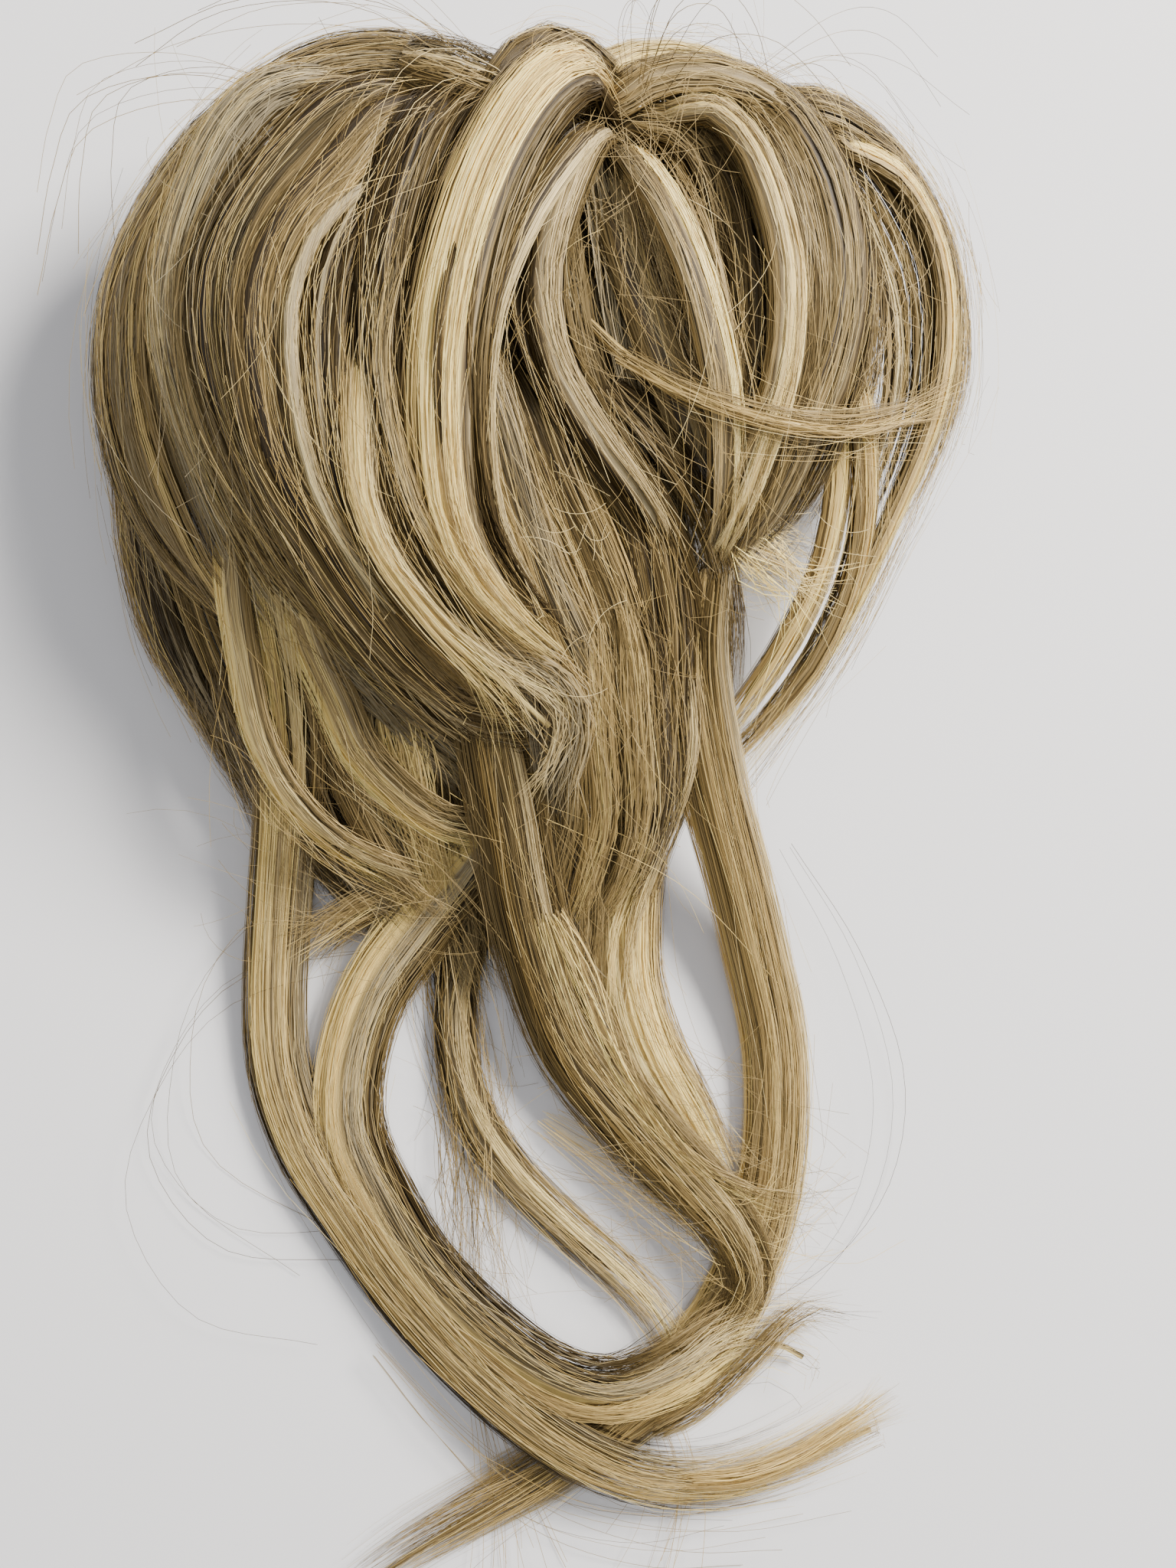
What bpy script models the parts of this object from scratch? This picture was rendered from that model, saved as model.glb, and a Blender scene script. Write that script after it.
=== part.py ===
"""Messy bun hairpiece: elastic band, short hair that fills the bun, looped locks and loose tendrils."""
from math import cos, pi, sin

import bmesh
import bpy
from mathutils import Vector

# Driving dimensions in metres
BUN_WIDTH = 0.150
BUN_LENGTH = 0.130
BUN_HEIGHT = 0.056
TENDRIL_REACH = 0.138
BAND_DIAMETER = 0.050
BAND_THICKNESS = 0.006
BAND_LIFT = 0.004
HOLLOW_HEIGHT = 0.024
CLEARANCE = 0.0003
CUT_PAST_FLOOR = 0.003

# Fineness of the faceted solids
LOCK_SIDES = 8
BAND_SEGMENTS = 24
STEP_LENGTH = 0.0105
SMALLEST_RADIUS = 0.0006
CURVE_READINGS = 200
FEWEST_STRETCHES = 6
PERCENT = 0.01

# Where the band sits, and the dome that the bun's locks lie on,
# in percent of the bun's width, length and height
BAND_PLACE = (45, 43)
DOME_CENTRE = (46, 47)
DOME_REACH = (58, 64)
DOME_FOOT = 25
DOME_CROWN = 72
STEEPEST_LEAN = 0.3

# Finishes: name, colour and roughness
FINISHES = {
    "golden_fibre": ((0.34, 0.21, 0.08), 0.42),
    "cream_fibre": ((0.72, 0.58, 0.33), 0.38),
    "ash_fibre": ((0.36, 0.29, 0.18), 0.45),
    "shadow_fibre": ((0.14, 0.09, 0.035), 0.55),
    "band_elastic": ((0.30, 0.22, 0.12), 0.80),
}

# Plan outline of the filling hair: across, down in percent
FILLING_OUTLINE = (
    (44, 10), (30, 11), (18, 20), (10, 36), (9, 54), (15, 70), (26, 83), (42, 95),
    (54, 97), (61, 86), (62, 72), (65, 58), (71, 44), (73, 28), (66, 15), (56, 10),
)
# Rings of the filling hair from the floor up: size of the outline, drift to the left, height, all in percent
FILLING_RINGS = (
    (90, 0, 0), (97, 0, 7), (100, 0, 20), (95, 2, 40), (79, 7, 56), (56, 10, 68), (30, 11, 76),
)

# Locks: piece, widest width, tip width, then the route from root to tip.
# A route's stations are across, down, up in percent of the bun's width, length and height.
# Down runs on past 100 along the tendrils, where each percent is a percent of their reach.
LOCKS = {
    "crown_arch": ("crown_lock", 5, 4, ((53, 12, 72), (50, 8, 74), (45, 7, 78), (41, 11, 82), (37, 19, 84))),
    "crown_blonde": ("crown_lock", 10, 6, (
        (53, 13, 74), (48, 11, 84), (41, 16, 90), (35, 27, 96), (33, 40, 99),
        (33, 53, 97), (36, 64, 92), (42, 73, 85), (48, 80, 77))),
    "crown_ash": ("crown_lock", 5, 3, (
        (52, 15, 78), (46, 21, 88), (41, 31, 94), (38, 43, 96), (38, 55, 93), (41, 66, 88), (46, 76, 82))),
    "left_rim": ("left_wing", 8, 4, (
        (38, 12, 64), (27, 9, 62), (17, 13, 58), (8, 22, 52), (2, 35, 44),
        (1, 48, 40), (4, 61, 38), (9, 70, 38), (14, 75, 38))),
    "left_ash": ("left_wing", 8, 4, (
        (37, 13, 72), (26, 14, 72), (14, 22, 68), (8, 35, 64), (7, 49, 62),
        (11, 63, 58), (18, 75, 52), (27, 83, 46), (37, 88, 42))),
    "left_brown": ("left_wing", 8, 4, (
        (36, 15, 78), (26, 19, 80), (17, 28, 80), (13, 41, 78), (14, 55, 76),
        (20, 69, 70), (28, 79, 62), (38, 86, 54))),
    "left_gold": ("left_wing", 8, 4, (
        (36, 14, 82), (28, 20, 86), (20, 32, 88), (17, 45, 87), (19, 59, 84),
        (25, 71, 78), (33, 81, 70), (41, 87, 62))),
    "left_cream": ("left_wing", 6, 6, (
        (33, 20, 84), (27, 33, 88), (24.5, 48, 88), (25.5, 62, 84), (31, 74, 78), (38, 83, 71),
        (47, 91, 62))),
    "left_dark": ("left_wing", 6, 3, (
        (38, 13, 80), (33, 21, 86), (29, 33, 91), (28, 46, 91), (29, 58, 88), (34, 69, 83), (43, 80, 76))),
    "left_under": ("left_wing", 10, 4, (
        (4, 36, 50), (4, 46, 42), (4, 56, 32), (4.5, 66, 25), (6.5, 76, 21), (10, 84, 18),
        (13, 89, 16))),
    "left_sweep": ("left_wing", 7, 4, (
        (17, 70, 60), (19, 79, 50), (23, 88, 44), (29, 96, 38), (38, 103, 32))),
    "left_hook": ("left_wing", 5, 3, (
        (11, 62, 58), (12.5, 71, 50), (14, 81, 44), (16.5, 91, 42), (21, 99, 40), (28, 105, 34),
        (37, 109, 28))),
    "right_silver": ("right_wing", 5, 3, (
        (53, 15, 72), (49, 19, 80), (46, 28, 86), (44.5, 37, 88), (46.5, 46, 87),
        (51, 54, 84), (56, 61, 80), (61, 68, 74))),
    "right_ash": ("right_wing", 4, 3, (
        (47, 24, 80), (43, 31, 84), (42, 39, 85), (45, 47, 84), (50, 55, 80), (55, 62, 76), (60, 69, 70))),
    "right_cream": ("right_wing", 5, 3, (
        (53, 18, 66), (55, 24, 78), (58, 32, 85), (61, 41, 88), (62.5, 51, 87), (62.5, 62, 81),
        (62, 73, 72))),
    "right_loop": ("right_wing", 6, 4, (
        (58, 15, 72), (63, 14, 80), (68, 21, 86), (71, 31, 88), (71, 42, 86),
        (69, 52, 83), (66, 61, 78), (62, 71, 72), (59, 80, 62))),
    "right_brown": ("right_wing", 7, 4, (
        (66, 12, 68), (72, 14, 74), (77, 22, 78), (79, 32, 79), (78, 42, 78),
        (74, 52, 76), (69, 61, 74), (64, 70, 70))),
    "right_thin": ("right_wing", 4, 3, (
        (60, 15, 70), (63, 24, 76), (65.5, 34, 79), (66, 44, 79), (65, 54, 78), (63, 64, 76))),
    "right_rim": ("right_wing", 4, 2, (
        (70, 12, 66), (78, 10, 62), (87, 14, 56), (93.5, 21, 50), (97.5, 31, 44), (98.5, 41, 40),
        (96, 52, 38))),
    "right_hoop": ("right_wing", 5, 4, (
        (74, 14, 72), (82, 16, 64), (88.5, 22, 60), (92, 31, 56), (93, 41, 52), (91, 51, 48),
        (87, 60, 44), (82.5, 69, 38), (78, 78, 32), (73, 86, 26), (67, 93, 20))),
    "right_umber": ("right_wing", 5, 3, (
        (73, 14, 72), (80, 20, 63), (86, 30, 54), (88, 40, 49), (86, 50, 45), (83, 59, 42))),
    "right_inner": ("right_wing", 3, 3, (
        (77, 24, 74), (81, 29, 68), (85, 36, 60), (86, 43, 54), (87, 49, 49))),
    "right_pale": ("right_wing", 4, 4, (
        (77, 40, 76), (77, 50, 66), (77.5, 58, 58), (76.5, 66, 50), (73, 74, 42), (69, 81, 34),
        (65, 87, 28))),
    "right_hem": ("right_wing", 4, 4, (
        (78, 38, 72), (80.5, 48, 62), (81.5, 58, 52), (80, 67, 44), (77, 75, 36), (72, 83, 28),
        (67, 90, 22))),
    "top_pale": ("right_wing", 6, 4, (
        (53, 14, 68), (54, 9, 62), (60, 6, 60), (66, 8, 62), (71, 13, 68), (75, 20, 74))),
    "top_veil": ("right_wing", 5, 4, (
        (52, 16, 72), (57, 13, 74), (63, 12, 76), (70, 13, 76), (77, 18, 76))),
    "wisp": ("crossing_wisp", 3.5, 2, (
        (49, 38, 76), (53, 44, 82), (58, 48.5, 87), (62.5, 51, 90), (69, 52.5, 87.5), (77, 52, 80),
        (85, 50, 64), (92, 46, 51))),
    "panel_left": ("filling_hair", 9, 6, (
        (36, 45, 80), (38, 55, 80), (41, 65, 76), (45, 75, 70), (50, 85, 60), (54, 94, 46))),
    "panel_middle": ("filling_hair", 8, 6, (
        (44, 50, 80), (47, 60, 76), (51, 70, 70), (54, 80, 62), (56, 90, 52), (57, 100, 36))),
    "panel_right": ("filling_hair", 7, 5, (
        (54, 56, 72), (56, 66, 70), (58, 76, 64), (59, 86, 54), (60, 96, 42), (60, 103, 32))),
    "hollow_olive": ("filling_hair", 7, 4, (
        (54, 16, 58), (52, 25, 61), (53, 34, 62), (55, 43, 60), (58, 53, 54), (60, 63, 48))),
    "root_knot": ("filling_hair", 9, 7, (
        (36, 14, 56), (43, 15, 62), (52, 16, 60), (62, 16, 60), (70, 18, 58))),
    "cream": ("tendril_cream", 8, 4, (
        (48, 88, 22), (43, 100, 22), (38, 107, 19), (33, 114, 13), (28.5, 122, 8), (26, 131, 5),
        (26.5, 140, 5), (30, 149, 5), (35, 158, 5), (42, 166, 8), (49.5, 172, 13), (57, 174.5, 14),
        (65, 173, 15), (73, 170.5, 10), (80, 172, 5))),
    "outer": ("tendril_outer", 7, 3, (
        (14, 66, 34), (16, 76, 30), (18, 87, 26), (19, 98, 19), (18.5, 110, 11), (18, 122, 6),
        (18.5, 132, 4), (21.5, 142, 4), (26.5, 151, 4), (32, 160, 4), (39, 169, 7), (47, 177, 12),
        (55, 183, 13), (63, 187, 8), (72, 188.5, 4), (81, 187, 3.5), (91, 183.5, 3))),
    "centre": ("tendril_centre", 10, 4, (
        (36, 80, 48), (38.5, 90, 46), (41.5, 100, 40), (44.5, 110, 28), (48, 120, 18), (52.5, 130, 12),
        (59, 139, 11), (66, 147, 12), (71.5, 154, 14), (74, 161, 15), (71.5, 167.5, 10))),
    "right": ("tendril_right", 8, 3, (
        (62, 70, 60), (61, 80, 50), (62, 90, 42), (66, 101, 28), (71, 110, 18), (75, 119, 11),
        (78, 130, 6), (78.5, 141, 5), (77.5, 151, 4.5), (75, 160, 4), (71, 168, 3.6), (65, 175, 3.6),
        (57, 181, 3.6), (49, 186.5, 3.2), (41, 191, 3), (34, 195, 2.6), (28, 199, 2.4))),
    "small": ("tendril_small", 6, 3, (
        (50, 90, 12), (46, 103, 7), (41, 115, 4), (39, 126, 3.6), (40.5, 137, 3.6), (45.5, 146, 3.6),
        (52.5, 154, 3.6), (59.5, 161, 3.6), (64, 168, 3.6))),
    "inner": ("tendril_inner", 6, 4, (
        (59, 90, 20), (60, 103, 13), (60, 113, 7), (60.5, 122, 4), (63, 131, 3.6), (67.5, 139.5, 3.6),
        (72, 148, 3.6))),
}

# Pieces from the top layer down: each is cut clear of those before it
LAYERS = (
    "crossing_wisp", "crown_lock", "left_wing", "right_wing", "tendril_centre", "tendril_outer",
    "tendril_cream", "tendril_right", "tendril_inner", "tendril_small", "filling_hair",
)
PIECE_FINISH = {
    "crossing_wisp": "golden_fibre", "crown_lock": "cream_fibre", "left_wing": "golden_fibre",
    "right_wing": "ash_fibre", "filling_hair": "shadow_fibre", "elastic_band": "band_elastic",
    "tendril_outer": "golden_fibre", "tendril_cream": "cream_fibre", "tendril_centre": "golden_fibre",
    "tendril_right": "golden_fibre", "tendril_small": "ash_fibre", "tendril_inner": "cream_fibre",
}
# A lock is this much thinner than wide, and grows to its full width over its first stretch
LOCK_DEPTH = 0.46
ROOT_WIDTH = 0.70
ROOT_STRETCH = 0.18
TIP_STRETCH = 0.30


def place(across, down, up):
    """Turn percent across, down and up into a point of the hairpiece."""
    x = (across * PERCENT - 0.5) * BUN_WIDTH
    in_bun = min(down, 100) * PERCENT
    past_bun = max(down - 100, 0) * PERCENT
    y = -in_bun * BUN_LENGTH - past_bun * TENDRIL_REACH
    return Vector((x, y, up * PERCENT * BUN_HEIGHT))


def through(points, t):
    """Point at t on the smooth curve through the points, one unit of t for each stretch."""
    i = min(int(t), len(points) - 2)
    f = t - i
    before = points[i - 1] if i > 0 else 2 * points[0] - points[1]
    after = points[i + 2] if i + 2 < len(points) else 2 * points[-1] - points[-2]
    a, b = points[i], points[i + 1]
    return 0.5 * (2 * a + (b - before) * f + (2 * before - 5 * a + 4 * b - after) * f ** 2
                  + (3 * a - before - 3 * b + after) * f ** 3)


def even_points(points, step):
    """Points a step apart along the smooth curve."""
    fine = [through(points, (len(points) - 1) * i / CURVE_READINGS) for i in range(CURVE_READINGS + 1)]
    runs = [0.0]
    for a, b in zip(fine, fine[1:]):
        runs.append(runs[-1] + (b - a).length)
    count = max(FEWEST_STRETCHES, round(runs[-1] / step))
    found = []
    j = 0
    for i in range(count + 1):
        goal = runs[-1] * i / count
        while j < len(fine) - 2 and runs[j + 1] < goal:
            j += 1
        share = (goal - runs[j]) / (runs[j + 1] - runs[j])
        found.append(fine[j].lerp(fine[j + 1], share))
    return found


def dome_normal(point):
    """Direction straight out of the bun's dome at a point, or straight up past its foot."""
    centre = place(*DOME_CENTRE, DOME_FOOT)
    reach = (DOME_REACH[0] * PERCENT * BUN_WIDTH, DOME_REACH[1] * PERCENT * BUN_LENGTH)
    crown = DOME_CROWN * PERCENT * BUN_HEIGHT
    offset = point - centre
    rise = max(offset.z, STEEPEST_LEAN * crown)
    return Vector((offset.x / reach[0] ** 2, offset.y / reach[1] ** 2, rise / crown ** 2)).normalized()


def width_at(share, widest, tip):
    """Width along a lock, from its gathered root to its tip."""
    grow = min(share / ROOT_STRETCH, 1)
    fall = max((share - 1 + TIP_STRETCH) / TIP_STRETCH, 0)
    root = ROOT_WIDTH + (1 - ROOT_WIDTH) * sin(grow * pi / 2)
    return (widest * root * (1 - fall ** 2) + tip * fall ** 2) * PERCENT * BUN_WIDTH


def lock_mesh(name, spare=0.0):
    """Closed body of one lock, grown all round by a spare distance when it serves as a cutter."""
    piece, widest, tip, route = LOCKS[name]
    centres = even_points([place(*station) for station in route], STEP_LENGTH)
    lies_flat = piece.startswith("tendril")
    floor = -CUT_PAST_FLOOR if spare else 0.0
    bm = bmesh.new()
    rings = []
    last = len(centres) - 1
    for i, centre in enumerate(centres):
        ahead = (centres[min(i + 1, last)] - centres[max(i - 1, 0)]).normalized()
        out = Vector((0, 0, 1)) if lies_flat else dome_normal(centre)
        side = ahead.cross(out).normalized()
        out = side.cross(ahead).normalized()
        half = 0.5 * width_at(i / last, widest, tip)
        half_depth = max(half * LOCK_DEPTH, SMALLEST_RADIUS) + spare
        half += spare
        if spare and i in (0, last):
            centre = centre + ahead * spare * (1 if i else -1)
        ring = []
        for k in range(LOCK_SIDES):
            angle = 2 * pi * (k + 0.5) / LOCK_SIDES
            corner = centre + side * half * cos(angle) + out * half_depth * sin(angle)
            corner.z = max(corner.z, floor)
            ring.append(bm.verts.new(corner))
        rings.append(ring)
    skin(bm, rings)
    return finish_mesh(bm, name)


def skin(bm, rings):
    """Faces between closed rings, with the first and last ring capped."""
    count = len(rings[0])
    for low, high in zip(rings, rings[1:]):
        for k in range(count):
            n = (k + 1) % count
            bm.faces.new((low[k], low[n], high[n], high[k]))
    bm.faces.new(rings[0][::-1])
    bm.faces.new(rings[-1])


def finish_mesh(bm, name):
    """Mesh of a closed body of flat triangles that face out."""
    bmesh.ops.triangulate(bm, faces=bm.faces)
    bmesh.ops.recalc_face_normals(bm, faces=bm.faces)
    if bm.calc_volume(signed=True) < 0:
        bmesh.ops.reverse_faces(bm, faces=bm.faces)
    mesh = bpy.data.meshes.new(name)
    bm.to_mesh(mesh)
    bm.free()
    return mesh


def filling_mesh():
    """Dome of short hair that fills the bun, built up from rings of one outline."""
    outline = [place(across, down, 0) for across, down in FILLING_OUTLINE]
    centre = sum(outline, Vector()) / len(outline)
    bm = bmesh.new()
    rings = []
    for size, drift, up in FILLING_RINGS:
        shift = Vector((-drift * PERCENT * BUN_WIDTH, 0, up * PERCENT * BUN_HEIGHT))
        rings.append([bm.verts.new(centre + (p - centre) * size * PERCENT + shift) for p in outline])
    skin(bm, rings)
    return finish_mesh(bm, "filling_hair")


def band_mesh():
    """Plain elastic loop: a round cord swept round a circle."""
    centre = place(*BAND_PLACE, 0)
    bm = bmesh.new()
    rings = []
    for i in range(BAND_SEGMENTS):
        turn = 2 * pi * i / BAND_SEGMENTS
        out = Vector((cos(turn), sin(turn), 0))
        middle = centre + out * 0.5 * BAND_DIAMETER + Vector((0, 0, BAND_LIFT + 0.5 * BAND_THICKNESS))
        ring = []
        for k in range(LOCK_SIDES):
            angle = 2 * pi * k / LOCK_SIDES
            offset = out * cos(angle) + Vector((0, 0, sin(angle)))
            ring.append(bm.verts.new(middle + offset * 0.5 * BAND_THICKNESS))
        rings.append(ring)
    for i, ring in enumerate(rings):
        ahead = rings[(i + 1) % BAND_SEGMENTS]
        for k in range(LOCK_SIDES):
            n = (k + 1) % LOCK_SIDES
            bm.faces.new((ring[k], ring[n], ahead[n], ahead[k]))
    return finish_mesh(bm, "elastic_band")


def hollow_mesh():
    """The space for the wearer's own bun: a round room, open below, that the band lies in."""
    radius = 0.5 * (BAND_DIAMETER + BAND_THICKNESS) + CLEARANCE
    bm = bmesh.new()
    bmesh.ops.create_cone(
        bm, cap_ends=True, segments=BAND_SEGMENTS, radius1=radius, radius2=radius,
        depth=HOLLOW_HEIGHT + CUT_PAST_FLOOR)
    middle = place(*BAND_PLACE, 0) + Vector((0, 0, 0.5 * (HOLLOW_HEIGHT - CUT_PAST_FLOOR)))
    bmesh.ops.translate(bm, verts=bm.verts, vec=middle)
    return finish_mesh(bm, "hollow")


def new_object(name, mesh, collection):
    """An object of its own for a mesh, in a collection."""
    thing = bpy.data.objects.new(name, mesh)
    collection.objects.link(thing)
    return thing


def cutter(name, mesh, collection):
    """A helper that takes part in Booleans and isn't part of the model."""
    thing = new_object(name, mesh, collection)
    thing.hide_render = True
    thing.display_type = "WIRE"
    return thing


def combined(thing, tools, operation):
    """Apply a Boolean of the thing with all the tools in a collection."""
    if not tools.objects:
        return
    change = thing.modifiers.new(operation.lower(), "BOOLEAN")
    change.operation = operation
    change.solver = "EXACT"
    change.operand_type = "COLLECTION"
    change.collection = tools
    graph = bpy.context.evaluated_depsgraph_get()
    mesh = bpy.data.meshes.new_from_object(thing.evaluated_get(graph))
    thing.modifiers.remove(change)
    thing.data = mesh


def keep_main_body(thing):
    """Drop the sealed pockets and crumbs that Booleans between locks leave behind."""
    bm = bmesh.new()
    bm.from_mesh(thing.data)
    left = set(bm.verts)
    shells = []
    while left:
        start = left.pop()
        shell = {start}
        queue = [start]
        while queue:
            for edge in queue.pop().link_edges:
                for vert in edge.verts:
                    if vert in left:
                        left.discard(vert)
                        shell.add(vert)
                        queue.append(vert)
        shells.append(shell)
    main_shell = max(shells, key=bounds_size)
    bmesh.ops.delete(bm, geom=[v for v in bm.verts if v not in main_shell], context="VERTS")
    bm.to_mesh(thing.data)
    bm.free()


def bounds_size(verts):
    """Width, length and height of some corners, added up."""
    spans = [max(v.co[k] for v in verts) - min(v.co[k] for v in verts) for k in range(3)]
    return sum(spans)


def fibre(name):
    """Material of one finish."""
    colour, roughness = FINISHES[name]
    material = bpy.data.materials.get(name) or bpy.data.materials.new(name)
    material.use_nodes = True
    material.diffuse_color = (*colour, 1)
    shader = material.node_tree.nodes["Principled BSDF"]
    shader.inputs["Base Color"].default_value = (*colour, 1)
    shader.inputs["Roughness"].default_value = roughness
    shader.inputs["Metallic"].default_value = 0
    return material


def collection_named(name, parent=None):
    """A new collection in the scene, or in its parent."""
    found = bpy.data.collections.new(name)
    (parent or bpy.context.scene.collection).children.link(found)
    return found


def stand_on_origin(collection):
    """Move the model so that the middle of its underside is at the origin."""
    corners = [v.co for thing in collection.objects for v in thing.data.vertices]
    lows = [min(c[k] for c in corners) for k in range(3)]
    highs = [max(c[k] for c in corners) for k in range(3)]
    middle = Vector((0.5 * (lows[0] + highs[0]), 0.5 * (lows[1] + highs[1]), lows[2]))
    for thing in collection.objects:
        thing.location = -middle


def main():
    """Build the pieces from the top layer down, then the band, and stand them on the origin."""
    for thing in list(bpy.data.objects):
        bpy.data.objects.remove(thing)
    model = collection_named("messy_bun_hairpiece")
    helpers = collection_named("cutters")
    above = collection_named("cutters_above", helpers)
    for piece in LAYERS:
        names = [name for name in LOCKS if LOCKS[name][0] == piece]
        own = collection_named("cutters_" + piece, helpers)
        if piece == "filling_hair":
            body = new_object(piece, filling_mesh(), model)
            cutter("hollow", hollow_mesh(), above)
        else:
            body = new_object(piece, lock_mesh(names.pop(0)), model)
        for name in names:
            cutter("lock_" + name, lock_mesh(name), own)
        combined(body, own, "UNION")
        combined(body, above, "DIFFERENCE")
        keep_main_body(body)
        body.data.materials.clear()
        body.data.materials.append(fibre(PIECE_FINISH[piece]))
        for name in LOCKS:
            if LOCKS[name][0] == piece:
                cutter("room_" + name, lock_mesh(name, CLEARANCE), above)
    band = new_object("elastic_band", band_mesh(), model)
    band.data.materials.append(fibre(PIECE_FINISH["elastic_band"]))
    stand_on_origin(model)


main()
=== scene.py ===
"""Messy bun hairpiece in streaked blonde fibre, lying on a plain pale floor."""
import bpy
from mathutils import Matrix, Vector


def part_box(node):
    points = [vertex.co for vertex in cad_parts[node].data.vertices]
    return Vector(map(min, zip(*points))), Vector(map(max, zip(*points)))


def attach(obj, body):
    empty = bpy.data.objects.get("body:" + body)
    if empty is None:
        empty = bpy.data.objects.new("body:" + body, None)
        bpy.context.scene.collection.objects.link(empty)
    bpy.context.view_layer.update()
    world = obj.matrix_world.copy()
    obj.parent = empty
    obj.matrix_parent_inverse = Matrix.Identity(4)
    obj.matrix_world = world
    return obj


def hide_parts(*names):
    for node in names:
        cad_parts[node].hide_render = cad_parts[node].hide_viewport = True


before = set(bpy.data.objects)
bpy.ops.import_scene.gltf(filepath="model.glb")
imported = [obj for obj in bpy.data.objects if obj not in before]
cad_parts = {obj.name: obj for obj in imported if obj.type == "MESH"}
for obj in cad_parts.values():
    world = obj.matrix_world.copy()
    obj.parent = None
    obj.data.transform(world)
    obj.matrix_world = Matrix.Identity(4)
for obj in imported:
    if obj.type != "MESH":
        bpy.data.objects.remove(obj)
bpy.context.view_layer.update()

from copy import copy
from math import pi, radians

import bpy
import numpy as np
from mathutils import Vector

MM = 0.001
PERCENT = 0.01

# Sizes in metres and places in percent of them, the same as the part's
BUN_WIDTH = 0.150
BUN_LENGTH = 0.130
BUN_HEIGHT = 0.056
TENDRIL_REACH = 0.138
BAND_PLACE = (45, 43)
DOME_CENTRE = (46, 47)
DOME_REACH = (58, 64)
DOME_FOOT = 25
DOME_CROWN = 72
STEEPEST_LEAN = 0.3
LOCK_DEPTH = 0.46
ROOT_WIDTH = 0.70
ROOT_STRETCH = 0.18
TIP_STRETCH = 0.30

# How much lighter or darker some locks turn from root to tip: partly the hair's own tone, partly painted
# shade, darker at roots that come out from under other locks and where the tendrils cross low down, and
# partly a painted highlight, lighter where a lock rises highest, as on the crown
ALONG_TONE_AND_PAINTED_LIGHT = {
    "left_cream": (-0.7, -0.5, 0.0, 0.05, 0.02, 0.0),
    "left_hook": (-0.35, 0.0, 0.05, 0.0, 0.0),
    "crown_blonde": (-0.28, 0.04, 0.13, 0.09, -0.06, -0.1),
    "outer": (0.05, 0.05, 0.0, -0.06, -0.14, -0.36, -0.44, -0.28, 0.08, 0.4),
    "left_gold": (-0.05, 0.05, 0.0, -0.03, 0.02, 0.1),
    "left_edge": (-0.3, -0.25, -0.12, 0.05, 0.25, 0.2),
    "left_shade": (-0.12, -0.12, -0.08, 0.0, 0.1),
    "left_silver": (-0.8, -0.25, -0.05, 0.0, -0.1),
    "panel_left": (-0.3, -0.1, 0.0, 0.0, 0.0),
    "panel_middle": (-0.4, -0.15, 0.0, 0.05, 0.0),
    "cream": (0.05, 0.0, 0.05, -0.05, -0.34, -0.46, -0.26, 0.15, 0.3),
    "small": (-0.2, -0.15, 0.0, 0.25, 0.3),
    "right_brown": (-0.1, -0.06, -0.06, -0.04, 0.0),
    "right_loop": (-0.2, -0.12, 0.02, 0.06, 0.0),
    "right_cream": (-0.2, 0.0, 0.1, 0.1, -0.2),
    "centre": (0.0, 0.0, -0.02, 0.0, 0.05, -0.1),
    "right": (-0.1, -0.05, 0.05, 0.1, 0.05, -0.1, -0.15),
    "left_rim": (-0.05, 0.05, 0.0, -0.05, 0.1),
    "left_ash": (-0.06, 0.16, 0.2, 0.16, 0.25, 0.35),
    "left_brown": (-0.06, -0.02, 0.0, 0.05, 0.15, 0.3),
    "left_dark": (0.0, -0.05, -0.08, -0.08, -0.05),
    "right_ash": (-0.1, -0.1, -0.15, -0.1, 0.1, 0.15),
    "inner": (-0.2, 0.0, 0.1, 0.1, 0.0),
    "right_hoop": (-0.1, 0.05, 0.15, 0.12, 0.15, 0.1),
}

# A lock that comes out of the gather, or slips in below others, sinks this far over its end stretch
SINK_DEPTH = 7 * MM
SINK_STRETCH = 0.12
# A lock whose tip frays less than this slips in below others
SLIPS_BELOW = 0.15
# A veil lies this much lower than the two locks beside it, and frays this much at its tip
VEIL_DROP = 1.5 * MM
VEIL_FRAY = 0.3

# Fibre: a real one is about 0.08 mm thick; in the locks it is drawn nearly twice as wide, so that it shows
STRAND_WIDTH = 0.14 * MM
WRAP_WIDTH = 1.25 * STRAND_WIDTH
FLYAWAY_WIDTH = 0.06 * MM
STRAND_STEP = 6.0 * MM
STRANDS_PER_MM = 27
# How far a lock's cross sections crowd towards the tight bend at its root
ROOT_CROWDING = 1.3
# A lock longer than this has its hairs start no further apart than one this long
ROOT_STAGGER = 50 * MM
# How hairs lie in a lock: the share on its upper side, the clumps for each mm of its width, and how far
# a hair draws in to its clump at the root, and how much further by the tip
TOP_SHARE = 0.70
CLUMPS_PER_MM = 1.6
ROOT_DRAW = 0.30
TIP_DRAW = 0.45
# Waves of a hair over the length of its lock, and of a short hair that wraps round the filling
LOCK_WAVES = (0.8, 1.7, 3.1)
WRAP_WAVES = (0.7, 1.6, 3.1)
# Where along a lock its tip starts to fray, where along a hair it starts to taper, and how much it loses
FRAY_START = 0.72
TAPER_START = 0.8
TIP_TAPER = 0.75
# How far hairs roll about their own run, in degrees
STRAND_ROLL = 13
WRAP_ROLL = 14
# Inner body of a lock: its sides, the length of a section, its size as a share of the lock's, where along the
# lock it ends, how much sooner under a frayed tip, and over what stretch it closes
BODY_SIDES = 26
BODY_STEP = 4 * MM
BODY_FULLNESS = 0.84
BODY_END = 0.94
FRAYED_END = 0.14
BODY_CLOSE = 0.3
# The thin wisp's inner body and number of hairs, as shares of a full lock's
WISP_BODY = 0.2
WISP_HAIRS = 0.45
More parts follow.
